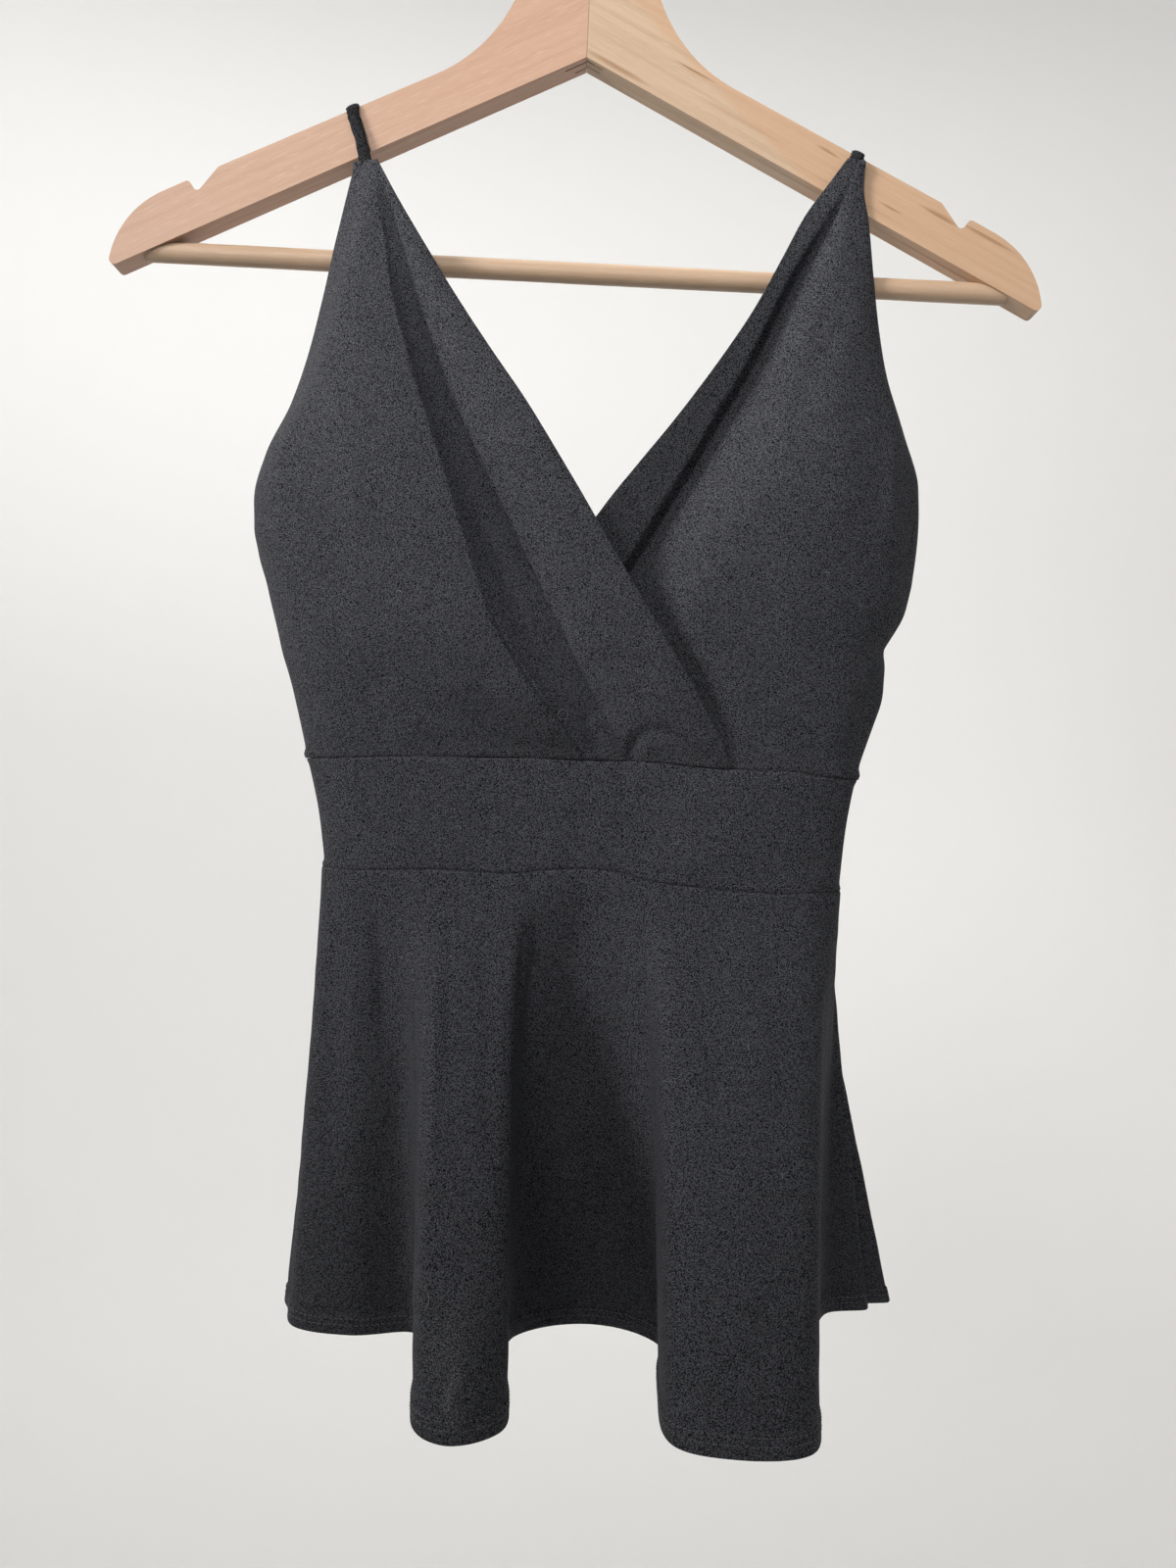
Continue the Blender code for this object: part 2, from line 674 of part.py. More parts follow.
def stem_hole():
    bpy.ops.mesh.primitive_cylinder_add(
        vertices=STEM_HOLE_SIDES, radius=(WIRE_RADIUS + FIT) * MM, depth=STEM_HOLE * MM,
        location=(0, 0, (STEM_END - FIT + STEM_HOLE / 2) * MM))
    return bpy.context.active_object


def round_long_edges(obj):
    """Rounds the edges along the outline, and leaves the flat face at the glued joint sharp."""
    shape = bmesh.new()
    shape.from_mesh(obj.data)
    joint = JOINT_GAP / 2 * MM + WELD
    edges = [edge for edge in shape.edges
             if edge.calc_face_angle() > SHARP_EDGE
             and max(abs(vert.co.x) for vert in edge.verts) > joint]
    flat = [edge for edge in edges if abs(edge.verts[0].co.z - edge.verts[1].co.z) < WELD]
    bmesh.ops.bevel(shape, geom=flat, offset=ARM_EDGE_ROUND * MM, segments=ARM_EDGE_STEPS,
                    profile=0.5, affect="EDGES", clamp_overlap=False)
    shape.to_mesh(obj.data)
    shape.free()


def hanger_arm(name, mirrored, cutters, material, collection):
    side = -1 if mirrored else 1
    outline = [(side * x, z, 0.0) for x, z in rounded_outline(ARM)]
    arm = curve_object(name, outline, True, "2D")
    arm.data.fill_mode = "BOTH"
    arm.data.extrude = ARM_THICK / 2 * MM
    arm.rotation_euler = (math.pi / 2, 0, 0)
    arm = as_mesh(arm)
    round_long_edges(arm)
    for cutter in cutters:
        cut(arm, cutter)
    arm.data.materials.append(material)
    move_to(arm, collection)


def hanger_rod(material, collection):
    rod = rod_shape(ROD_RADIUS, ROD_END)
    rod.name = rod.data.name = "hanger_rod"
    rod.data.materials.append(material)
    move_to(rod, collection)


def hook_path():
    """Up the stem, over to one side and round the circle that hangs from the origin."""
    centre, radius = -HOOK_INSIDE, HOOK_INSIDE + WIRE_RADIUS
    angles = np.radians(np.arange(HOOK_ENTRY, HOOK_TIP + 1, WIRE_STEP))
    circle = [(radius * math.cos(a), 0.0, centre + radius * math.sin(a)) for a in angles]
    entry, first = np.array(circle[0]), angles[0]
    heading = np.array([-math.sin(first), 0.0, math.cos(first)])
    p0, p3 = np.array([0.0, 0.0, STEM_TOP]), entry
    p1, p2 = p0 + np.array([0.0, 0.0, BEND_UP]), p3 - heading * BEND_IN
    bend = [(1 - t) ** 3 * p0 + 3 * t * (1 - t) ** 2 * p1 + 3 * t * t * (1 - t) * p2 + t ** 3 * p3
            for t in np.linspace(0, 1, BEND_STEPS)[:-1]]
    return [(0.0, 0.0, STEM_END)] + [tuple(p) for p in bend] + circle


def hanger_hook(material, collection):
    hook = curve_object("hanger_hook", hook_path(), False, "3D")
    hook.data.bevel_depth = WIRE_RADIUS * MM
    hook.data.bevel_resolution = WIRE_ROUND_STEPS
    hook.data.use_fill_caps = True
    hook = as_mesh(hook)
    hook.data.materials.append(material)
    move_to(hook, collection)


# ---------------------------------------------------------------- the parts
def make_blouse(collection):
    crepe = principled("black_crepe", BLACK_CREPE, 0.9)
    over_rows = rows_to_seam(OVER[0][0], BAND_TOP, FRONT_ROWS)
    under_rows = rows_to_seam(UNDER[0][0], BAND_TOP, FRONT_ROWS)
    right_seam, left_seam = SIDE_SEAMS
    pieces = {
        "front_right": panel_grid(over_rows, over_section),
        "front_left": panel_grid(under_rows, under_section),
        "back": back_grid(),
        "waistband_front": band_grid(front=True),
        "waistband_back": band_grid(front=False),
        "peplum_front": peplum_grid(right_seam, left_seam),
        "peplum_back": peplum_grid(left_seam, right_seam),
    }
    for name, grid in pieces.items():
        cloth_object(name, grid, CLOTH, crepe, collection)
    for name, route in (("strap_right", STRAP_RIGHT), ("strap_left", STRAP_LEFT)):
        cloth_object(name, strap_grid(route), STRAP_THICK, crepe, collection)


def make_hanger(collection, cutters):
    socket = as_cutter(rod_shape(ROD_RADIUS + FIT, ROD_END + FIT), "rod_sockets", cutters)
    hole = as_cutter(stem_hole(), "stem_hole", cutters)
    rosy = principled("wood_rosy", WOOD_ROSY, 0.6)
    pale = principled("wood_pale", WOOD_PALE, 0.6)
    hanger_arm("hanger_arm_right", True, (socket, hole), rosy, collection)
    hanger_arm("hanger_arm_left", False, (socket, hole), pale, collection)
    hanger_rod(principled("wood_rod", WOOD_ROD, 0.6), collection)
    hanger_hook(principled("steel", STEEL, 0.25, metallic=1.0), collection)


clear_scene()
product = new_collection("blouse_on_hanger")
make_blouse(product)
make_hanger(product, new_collection("cutters"))
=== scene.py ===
# %% [markdown]
# # A black wrap-front blouse on a wooden hanger
# The blouse is a small sleeveless top in black crepe knit: two front panels that wrap over each other,
# thin straps, a waistband and a flared peplum. It hangs on a wooden hanger with a rod.
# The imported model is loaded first, as a fixed frame. Each piece made here stands for one of its parts.

# %% Load the frame
import math

import bmesh
import bpy
import numpy as np
from mathutils import Matrix, Vector


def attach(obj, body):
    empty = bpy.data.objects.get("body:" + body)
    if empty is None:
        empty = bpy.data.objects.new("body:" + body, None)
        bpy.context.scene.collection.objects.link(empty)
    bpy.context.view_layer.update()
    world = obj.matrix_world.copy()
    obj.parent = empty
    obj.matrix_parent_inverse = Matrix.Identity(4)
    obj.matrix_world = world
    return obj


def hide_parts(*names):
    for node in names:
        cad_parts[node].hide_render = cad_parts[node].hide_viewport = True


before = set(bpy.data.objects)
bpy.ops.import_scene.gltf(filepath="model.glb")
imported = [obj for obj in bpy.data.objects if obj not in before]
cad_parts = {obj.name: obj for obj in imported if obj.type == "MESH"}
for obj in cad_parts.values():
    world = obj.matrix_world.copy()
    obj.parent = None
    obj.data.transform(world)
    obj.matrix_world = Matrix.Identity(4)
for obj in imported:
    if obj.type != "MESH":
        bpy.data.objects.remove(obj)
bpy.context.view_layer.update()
bpy.ops.object.select_all(action="DESELECT")
MM = 0.001
print("parts in the frame:", sorted(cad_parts))

# %% [markdown]
# ## Camera
# The picture was taken from about 0.57 m in front of the hanger, level with the waistband, with a wide
# lens and a small roll. A wide lens so near makes the flutes of the peplum look longer. The place was
# found from the hanger: its two arms have to be mirror images, and its rod and the waistband level.

# %% Camera
CAMERA_PLACE = (0.0182, -0.567, -0.474)
CAMERA_ROLL = math.radians(2.9)
LENS, SENSOR = 27.0, 36.0


def placed(name, data):
    """A new object in the scene, at the origin."""
    made = bpy.data.objects.new(name, data)
    bpy.context.scene.collection.objects.link(made)
    return made


camera_data = bpy.data.cameras.new("camera")
camera_data.lens, camera_data.sensor_width, camera_data.sensor_fit = LENS, SENSOR, "AUTO"
camera = placed("camera", camera_data)
camera.matrix_world = (Matrix.Translation(CAMERA_PLACE) @ Matrix.Rotation(math.pi / 2, 4, "X")
                       @ Matrix.Rotation(CAMERA_ROLL, 4, "Z"))
bpy.context.scene.camera = camera
bpy.context.scene.view_settings.view_transform = "Standard"
print("camera at", CAMERA_PLACE, "with a lens of", LENS, "mm")

# %% [markdown]
# ## Studio
# A pale bowl gives a floor and a backdrop with no corner, so that the blouse stands out the same from
# every side. It is drawn as a profile and spun round. A room's light comes mostly from its windows, so
# two large soft lights stand at the upper left, one at the side and one nearer the front: together
# they shade the folds without hard edges. Weak lights fill the rest, and one washes the wall.

# %% A node helper
def new_material(name):
    """A node material with its shader, a function that adds nodes and one that links to the shader."""
    material = bpy.data.materials.new(name)
    material.use_nodes = True
    tree = material.node_tree
    shader = tree.nodes["Principled BSDF"]

    def node(kind, values=(), **links):
        made = tree.nodes.new(kind)
        for key, value in dict(values).items():
            if isinstance(key, str) and hasattr(made, key):
                setattr(made, key, value)
            else:
                made.inputs[key].default_value = value
        for key, source in links.items():
            target = made.inputs[int(key[2:])] if key.startswith("in") else made.inputs[key]
            tree.links.new(source, target)
        return made

    def link(source, socket):
        tree.links.new(source, shader.inputs[socket])

    return material, shader, node, link


# %% Floor and backdrop
FLOOR_Z = -1.45
PALE_PAPER = (0.84, 0.835, 0.825, 1)
BOWL_RADIUS, BOWL_CURVE, BOWL_HEIGHT = 2.9, 1.1, 4.4


def studio_bowl():
    """A profile from the middle of the floor up the wall, spun all round."""
    shape = bmesh.new()
    turn = [(BOWL_RADIUS - BOWL_CURVE + BOWL_CURVE * math.sin(a), FLOOR_Z + BOWL_CURVE * (1 - math.cos(a)))
            for a in np.linspace(0, math.pi / 2, 17)]
    profile = [(0.0, FLOOR_Z)] + turn + [(BOWL_RADIUS, FLOOR_Z + BOWL_HEIGHT)]
    verts = [shape.verts.new((x, 0.0, z)) for x, z in profile]
    edges = [shape.edges.new(pair) for pair in zip(verts, verts[1:])]
    bmesh.ops.spin(shape, geom=verts + edges, cent=(0, 0, 0), axis=(0, 0, 1), angle=2 * math.pi,
                   steps=64, use_merge=True)
    bmesh.ops.remove_doubles(shape, verts=shape.verts, dist=1e-5)
    mesh = bpy.data.meshes.new("studio_bowl")
    shape.to_mesh(mesh)
    shape.free()
    mesh.shade_smooth()
    bowl = placed("studio_bowl", mesh)
    material, shader, _, _ = new_material("pale_paper")
    shader.inputs["Base Color"].default_value = PALE_PAPER
    shader.inputs["Roughness"].default_value = 0.95
    shader.inputs["Specular IOR Level"].default_value = 0.1
    mesh.materials.append(material)
    print(f"studio bowl: {BOWL_RADIUS} m in radius, its floor {-FLOOR_Z} m below the hook")


studio_bowl()

# %% Lights
LIGHTS = (
    # name, place, aim, width, height, spread, power, colour
    ("ceiling", (-0.1, -1.3, 1.0), (0.0, 0.0, -0.15), 1.5, 0.5, 50, 0.30, (1.0, 0.99, 0.97)),
    ("room", (1.2, -1.2, 0.2), (0.0, 0.0, -0.22), 1.0, 1.0, 60, 0.50, (0.96, 0.97, 1.0)),
    ("wall wash", (-0.40, 0.50, 1.25), (-0.10, 2.9, -0.20), 1.9, 0.9, 175, 56.0, (1.0, 0.995, 0.98)),
    ("behind", (0.7, 1.3, 1.0), (0.0, 0.0, -0.4), 0.8, 0.8, 60, 0.5, (1.0, 0.98, 0.96)),
)
WINDOWS = (
    # name, place, power
    ("side window", (-2.00, -1.07, 0.65), 500.0),
    ("front window", (-0.80, -2.20, 0.65), 175.0),
)
WINDOW_AIM, WINDOW_RADIUS, WINDOW_CONE, WINDOW_BLEND = (0.0, 0.0, -0.08), 0.50, 26.5, 1.0
DAYLIGHT = (1.0, 0.985, 0.96)
ROOM_GLOW, GLOW_STRENGTH = (0.95, 0.96, 1.0, 1), 0.03


def aimed(data, place, aim):
    """Puts a light at its place, turned to what it lights; the light itself isn't seen."""
    light = placed(data.name, data)
    light.location = place
    light.rotation_euler = (Vector(aim) - Vector(place)).to_track_quat("-Z", "Y").to_euler()
    light.visible_camera = False


def soft_panel(name, place, aim, width, height, spread, power, colour):
    data = bpy.data.lights.new(name, "AREA")
    data.shape, data.size, data.size_y = "RECTANGLE", width, height
    data.energy, data.color, data.spread = power, colour, math.radians(spread)
    aimed(data, place, aim)


for name, place, power in WINDOWS:
    window = bpy.data.lights.new(name, "SPOT")
    window.energy, window.color, window.shadow_soft_size = power, DAYLIGHT, WINDOW_RADIUS
    window.spot_size, window.spot_blend = math.radians(WINDOW_CONE), WINDOW_BLEND
    aimed(window, place, WINDOW_AIM)
for row in LIGHTS:
    soft_panel(*row)
world = bpy.data.worlds.new("soft_room")
world.use_nodes = True
world.node_tree.nodes["Background"].inputs["Color"].default_value = ROOM_GLOW
world.node_tree.nodes["Background"].inputs["Strength"].default_value = GLOW_STRENGTH
bpy.context.scene.world = world
print("lights:", ", ".join(row[0] for row in WINDOWS + LIGHTS))

# %% [markdown]
# ## The pattern of the blouse, as tables
# A pattern maker measures a garment at levels. Each table below is read as smooth curves, so a panel
# can be made as finely as wanted from a few sizes. All of these sizes are in millimetres, down from
# the hook: the waistband lies between 467 and 519 below it and the hem at 736.

# %% Levels of the body
BAND_TOP, BAND_BOTTOM, HEM = -467.0, -519.0, -736.0
BODY = (
    # height, right_side, left_side, side_y, front, back
    (-172.0, -105.5, 133.8, -9.2, 1.6, 9.0),
    (-184.5, -106.8, 134.1, -8.5, 2.5, 9.0),
    (-200.0, -109.9, 137.4, -7.7, 5.0, 9.0),
    (-225.0, -114.9, 141.1, -6.8, 9.0, 10.0),
    (-250.0, -119.6, 145.3, -5.1, 14.0, 11.0),
    (-275.0, -125.0, 151.0, -3.9, 18.0, 12.0),
    (-300.0, -132.5, 160.3, -2.6, 22.0, 13.0),
    (-325.0, -143.7, 168.7, -1.4, 25.5, 13.0),
    (-345.0, -148.3, 169.9, -0.5, 26.5, 13.0),
    (-370.0, -145.2, 168.4, 0.0, 26.0, 13.0),
    (-400.0, -136.1, 159.5, 0.0, 25.0, 12.0),
    (-435.0, -125.2, 154.5, 0.0, 22.0, 11.0),
    (-467.0, -116.5, 146.1, 0.0, 18.5, 10.0),
    (-493.0, -110.0, 142.4, 0.0, 17.5, 10.0),
    (-519.0, -105.7, 140.7, 0.0, 17.0, 10.0),
)

# %% The folds of the two front panels
OVER = (
    # height, ridge, valley, neckline, ridge_out, strip_out
    (-184.5, -102.0, -99.0, -96.0, 0.0, 0.0),
    (-200.0, -96.0, -91.0, -87.0, 1.2, 0.7),
    (-225.0, -89.4, -81.5, -71.4, 3.6, 2.2),
    (-250.0, -84.3, -72.3, -55.3, 6.0, 3.8),
    (-275.0, -76.5, -62.5, -37.9, 8.0, 5.2),
    (-300.0, -67.8, -52.0, -19.6, 9.6, 6.2),
    (-325.0, -58.3, -39.5, -2.9, 10.8, 6.8),
    (-345.0, -50.6, -28.5, 10.3, 11.6, 7.0),
    (-370.0, -41.7, -15.4, 26.4, 12.2, 7.0),
    (-400.0, -30.8, 0.8, 45.2, 12.2, 6.4),
    (-435.0, -9.9, 18.8, 67.2, 10.4, 5.0),
    (-452.0, 4.1, 28.6, 77.4, 6.6, 3.4),
    (-467.0, 15.4, 36.0, 85.5, 1.2, 0.8),
)
UNDER = (
    # height, neckline, crease, broad_out
    (-172.0, 126.0, 129.5, 0.0),
    (-184.5, 117.7, 125.0, 1.6),
    (-200.0, 107.6, 116.0, 3.0),
    (-225.0, 95.9, 102.6, 4.0),
    (-250.0, 83.9, 91.8, 4.6),
    (-275.0, 69.1, 81.0, 5.0),
    (-300.0, 52.7, 67.9, 5.0),
    (-325.0, 34.7, 55.0, 4.8),
    (-345.0, 20.0, 43.9, 4.2),
    (-370.0, 4.0, 30.2, 2.6),
    (-400.0, -15.0, 12.0, 0.8),
    (-435.0, -36.0, -10.0, 0.0),
    (-467.0, -54.0, -28.0, 0.0),
)

# %% The waist seams and the folds of the peplum
FRONT_SEAMS = (
    # across, upper, lower
    (-116.0, -468.4, -518.9), (-95.0, -467.0, -519.8), (-70.0, -465.5, -518.8),
    (-45.0, -464.2, -517.4), (-20.0, -463.4, -517.6), (0.0, -462.9, -515.2),
    (20.0, -462.6, -513.6), (35.0, -462.3, -514.4), (51.0, -462.2, -517.8),
    (70.0, -463.3, -519.6), (90.0, -463.7, -520.8), (110.0, -463.4, -521.0),
    (128.0, -464.8, -519.6), (146.0, -465.4, -518.6),
)
BACK_SEAMS = (
    # across, upper, lower
    (-116.0, -468.2, -518.9), (-60.0, -466.0, -518.0), (-10.0, -464.8, -517.2),
    (45.0, -463.6, -516.9), (100.0, -464.9, -518.4), (146.0, -465.6, -519.0),
)
PEPLUM = (
    # place, round_waist, hem_x, hem_y
    ("right side seam", 0.0, -113.0, 3.0),
    ("right front corner", 1.8, -107.0, -13.0),
    ("flat part", 4.8, -80.0, -19.5),
    ("valley", 8.5, -50.0, -14.0),
    ("first flute, right wall", 10.2, -42.0, -55.0),
    ("first flute, right corner", 11.6, -37.0, -97.0),
    ("first flute, front", 14.9, -22.5, -106.3),
    ("first flute, left corner", 19.0, -3.6, -94.0),
    ("first flute, left wall", 20.5, -5.5, -55.0),
    ("recess, right", 21.9, -4.0, -13.0),
    ("recess, middle", 26.4, 31.0, 5.0),
    ("recess, left", 30.6, 65.0, -13.0),
    ("second flute, right wall", 31.7, 62.5, -57.0),
    ("second flute, right corner", 33.2, 66.0, -98.0),
    ("second flute, front", 39.6, 92.0, -105.6),
    ("second flute, left corner", 46.4, 121.0, -99.0),
    ("second flute, left wall", 47.8, 128.0, -58.0),
    ("left front valley", 48.8, 136.0, -8.0),
    ("left side seam", 50.0, 143.5, 14.0),
    ("side flute, front", 50.5, 153.5, 31.0),
    ("side flute, fold", 51.2, 174.5, 36.5),
    ("side flute, back", 51.8, 164.0, 41.5),
    ("back flute, fold", 52.6, 188.5, 46.5),
    ("back flute, back", 56.5, 176.0, 54.0),
    ("back valley, left", 62.0, 150.0, 46.0),
    ("back wave, left", 68.0, 118.0, 57.0),
    ("back valley, left of middle", 74.0, 84.0, 43.0),
    ("back wave, middle", 79.0, 50.0, 57.0),
    ("back valley, right of middle", 84.0, 14.0, 43.0),
    ("back wave, right", 89.0, -22.0, 56.0),
    ("back valley, right", 93.5, -58.0, 43.0),
    ("right back corner", 97.0, -94.0, 42.0),
    ("right side flute", 98.9, -117.0, 17.0),
)
widest = max(BODY, key=lambda row: row[2] - row[1])
print(f"widest at {widest[0]:.0f}: {widest[2] - widest[1]:.1f} mm; {len(PEPLUM)} places along the hem")


# %% Curves read from a table
def smooth_curve(rows, column):
    """A smooth curve through one column of a table against its first, with no overshoot."""
    ordered = sorted((row[0], row[column]) for row in rows)
    at = np.array([row[0] for row in ordered])
    value = np.array([row[1] for row in ordered])
    width = np.diff(at)
    slope = np.diff(value) / width
    tangent = np.zeros(len(at))
    tangent[0], tangent[-1] = slope[0], slope[-1]
    for i in range(1, len(at) - 1):
        before, after = slope[i - 1], slope[i]
        if before * after > 0:
            a = 2 * width[i] + width[i - 1]
            b = width[i] + 2 * width[i - 1]
            tangent[i] = (a + b) / (a / before + b / after)

    def read(x):
        x = np.clip(x, at[0], at[-1])
        i = np.clip(np.searchsorted(at, x) - 1, 0, len(at) - 2)
        t = (x - at[i]) / width[i]
        return (value[i] * (1 + 2 * t) * (1 - t) ** 2 + tangent[i] * width[i] * t * (1 - t) ** 2
                + value[i + 1] * t ** 2 * (3 - 2 * t) + tangent[i + 1] * width[i] * t ** 2 * (t - 1))

    return read


def ease(t):
    t = np.clip(t, 0.0, 1.0)
    return t * t * (3 - 2 * t)


def bump(t):
    """1 at 0, falling softly to nothing by about 2."""
    return np.exp(-t * t)


side_y = smooth_curve(BODY, 3)
front_out, back_out = smooth_curve(BODY, 4), smooth_curve(BODY, 5)
over_ridge, over_valley, over_neckline, ridge_out, strip_out = (smooth_curve(OVER, i) for i in range(1, 6))
under_neckline, under_crease, broad_out = (smooth_curve(UNDER, i) for i in range(1, 4))
front_upper_seam, front_lower_seam = smooth_curve(FRONT_SEAMS, 1), smooth_curve(FRONT_SEAMS, 2)
back_upper_seam, back_lower_seam = smooth_curve(BACK_SEAMS, 1), smooth_curve(BACK_SEAMS, 2)

# %% A smooth curve through points
def between(p, q, start, end, t):
    return ((end - t) * p + (t - start) * q) / (end - start)


def spline(points, per_segment, closed=False):
    """Points on a centripetal Catmull-Rom curve through the given ones."""
    points = np.asarray(points, float)
    if closed:
        ring = np.vstack([points[-1], points, points[0], points[1]])
    else:
        ring = np.vstack([2 * points[0] - points[1], points, 2 * points[-1] - points[-2]])
    out = []
    for start in range(len(ring) - 3):
        p = ring[start:start + 4]
        k = np.concatenate([[0], np.cumsum(np.linalg.norm(np.diff(p, axis=0), axis=1) ** 0.5)])
        for t in np.linspace(k[1], k[2], per_segment, endpoint=False):
            a = [between(p[j], p[j + 1], k[j], k[j + 1], t) for j in range(3)]
            b = [between(a[j], a[j + 1], k[j], k[j + 2], t) for j in range(2)]
            out.append(between(b[0], b[1], k[1], k[2], t))
    if not closed:
        out.append(points[-1])
    return np.array(out)


# %% [markdown]
# ## Where the side edges are rumpled
# The side seams are sewn through several layers, so they don't hang as clean curves. Small bumps stand
# out where the waist seams end, and the loose cloth under the arms is a little rumpled.

# %% The side edges
RUMPLES = (
    # side, height, out, spread
    ("right", -465.5, 1.5, 2.4),
    ("right", -519.0, 1.5, 2.2),
    ("left", -465.5, 1.7, 2.6),
    ("left", -519.5, 1.2, 2.2),
    ("left", -404.0, -2.2, 6.0),
    ("left", -387.0, 1.4, 8.0),
    ("left", -428.0, 1.2, 9.0),
    ("right", -362.0, 0.7, 6.0),
    ("right", -384.0, -0.7, 8.0),
    ("right", -418.0, 0.6, 9.0),
)
plain_right, plain_left = smooth_curve(BODY, 1), smooth_curve(BODY, 2)


def rumple(side, z):
    return sum(out * bump((z - height) / spread) for name, height, out, spread in RUMPLES if name == side)


def right_side(z):
    return plain_right(z) - rumple("right", z)


def left_side(z):
    return plain_left(z) + rumple("left", z)


# %% [markdown]
# ## The surfaces
# A level section through the hanging top is a flat oval. The over panel has a soft pleat: it rises to a
# ridge, falls into a valley and rises again to the strip along the neckline. The under panel's strip
# along the neckline is turned, and the broad part comes out from under its edge.

# %% Level sections
SIDE_ROUND = 6
SEAM_LIFT, SEAM_CLEAR, SEAM_PRESS = 0.1, 1.25, 15.0
STEP_WIDTH, BROAD_FADE = 70.0, 60.0


def roundness(x, z):
    across = np.clip((x - right_side(z)) / (left_side(z) - right_side(z)), 0.0, 1.0)
    return np.sqrt(1 - np.abs(2 * across - 1) ** SIDE_ROUND)


def plain_front(x, z):
    return side_y(z) - front_out(z) * roundness(x, z)


def plain_back(x, z):
    return side_y(z) + back_out(z) * roundness(x, z)


def off_seam(z):
    """0 at the waist seam, where the layers are pressed flat together, and 1 a little above it."""
    return ease((z - BAND_TOP) / SEAM_PRESS)


def under_front(x, z):
    past = (x - under_crease(z)) / STEP_WIDTH
    fade = ease((left_side(z) - x) / BROAD_FADE)
    pressed = 0.9 * (1 - off_seam(z)) * ease((over_neckline(z) + 3.0 - x) / 6.0)
    return plain_front(x, z) - broad_out(z) * ease(past) * fade + pressed


# %% The over panel's pleat
WRAP_LIFT, WRAP_CLEAR = 2.2, 2.0
SIDE_BLEND, SHORT_FADE = 16.0, 22.0
EDGE_ROLL, ROLL_WIDE = 1.2, 12.0
PLEAT_LINE, LINE_WIDE, BEFORE_VALLEY, PAST_RIDGE = 0.8, 1.0, 0.6, 1.3
PLEAT_FALL = (
    # share of the way from the ridge to the valley, share of the fall
    (0.0, 0.0), (0.03, 0.05), (0.25, 0.37), (0.75, 0.80), (0.96, 0.985), (1.0, 1.0),
)
pleat_fall = smooth_curve(PLEAT_FALL, 1)


def pleat_lines(x, z):
    """Two fine grooves, where the cloth is creased hardest: in the valley and beside the ridge."""
    valley = bump((x - over_valley(z) + BEFORE_VALLEY) / LINE_WIDE)
    ridge = bump((x - over_ridge(z) - PAST_RIDGE) / LINE_WIDE)
    return (PLEAT_LINE * valley * ease((z + 452) / 20) * ease((-330 - z) / 60)
            + PLEAT_LINE * ridge * ease((-370 - z) / 50))


def over_front(x, z):
    at_side = ease((x - right_side(z)) / SIDE_BLEND)
    fade = SHORT_FADE + (BROAD_FADE - SHORT_FADE) * ease((z - BAND_TOP) / 60)
    before = np.exp(-(np.minimum(x - over_ridge(z), 0) / fade) ** 2)
    past = (x - over_ridge(z)) / (over_valley(z) - over_ridge(z))
    ridge = ridge_out(z) * before * (1 - pleat_fall(past))
    across = np.clip((x - over_valley(z)) / (over_neckline(z) - over_valley(z)), 0, 1)
    strip = strip_out(z) * (1 - (1 - across) ** 2)
    edge = np.clip((x - over_neckline(z) + ROLL_WIDE) / ROLL_WIDE, 0, 1)
    roll = EDGE_ROLL * edge ** 3 * ease((-195.0 - z) / 40)
    lift = SEAM_LIFT + (WRAP_LIFT - SEAM_LIFT) * off_seam(z)
    clear = SEAM_CLEAR + (WRAP_CLEAR - SEAM_CLEAR) * off_seam(z)
    own = plain_front(x, z) - at_side * (lift + ridge + strip - pleat_lines(x, z)) + roll
    covered = x > under_neckline(z) - 4.0
    return np.where(covered, np.minimum(own, under_front(x, z) - clear), own)


# %% [markdown]
# ## Creases
# Besides the main folds, soft troughs and ridges cross each panel. They are listed one by one: each runs
# between two points, may bow to one side, and fades out at both ends. A plus depth is a trough and a
# minus depth is a ridge.

# %% Creases, listed one by one
OVER_CREASES = (
    # place, x0, z0, x1, z1, bow, width, depth
    ("broad ridge", -104.0, -235.0, -86.0, -395.0, 3.0, 17.0, -1.3),
    ("armhole hollow", -114.0, -255.0, -128.0, -340.0, -3.0, 10.0, 0.9),
    ("above the waist", -88.0, -425.0, -70.0, -462.0, 2.0, 7.0, 0.9),
    ("waist swell", -52.0, -420.0, -46.0, -466.0, 0.0, 11.0, -0.7),
    ("side pull", -130.0, -392.0, -96.0, -372.0, 2.0, 7.0, 0.5),
    ("pleat floor", -46.0, -335.0, -6.0, -420.0, 1.0, 4.0, 0.8),
    ("pleat end", 12.0, -440.0, 24.0, -465.0, 0.0, 3.4, 1.4),
    ("strip soft trough", -18.0, -320.0, 46.0, -428.0, -3.0, 7.0, 0.7),
    ("neckline corner", 62.0, -430.0, 83.0, -464.0, 1.0, 3.0, 0.6),
)
PUCKER_ARCH = (
    # x, z, depth and width of the groove along it
    (36.6, -467.0, 2.2, 1.9), (37.6, -461.0, 2.2, 2.3), (39.6, -456.4, 2.1, 2.8), (43.8, -453.2, 1.9, 3.1),
    (48.9, -452.2, 1.8, 3.0), (54.8, -452.9, 1.5, 2.5), (60.5, -455.2, 1.2, 2.0), (66.8, -459.2, 1.0, 1.6),
    (72.5, -464.4, 0.8, 1.4),
)
PUCKER_INSIDE = 1.5

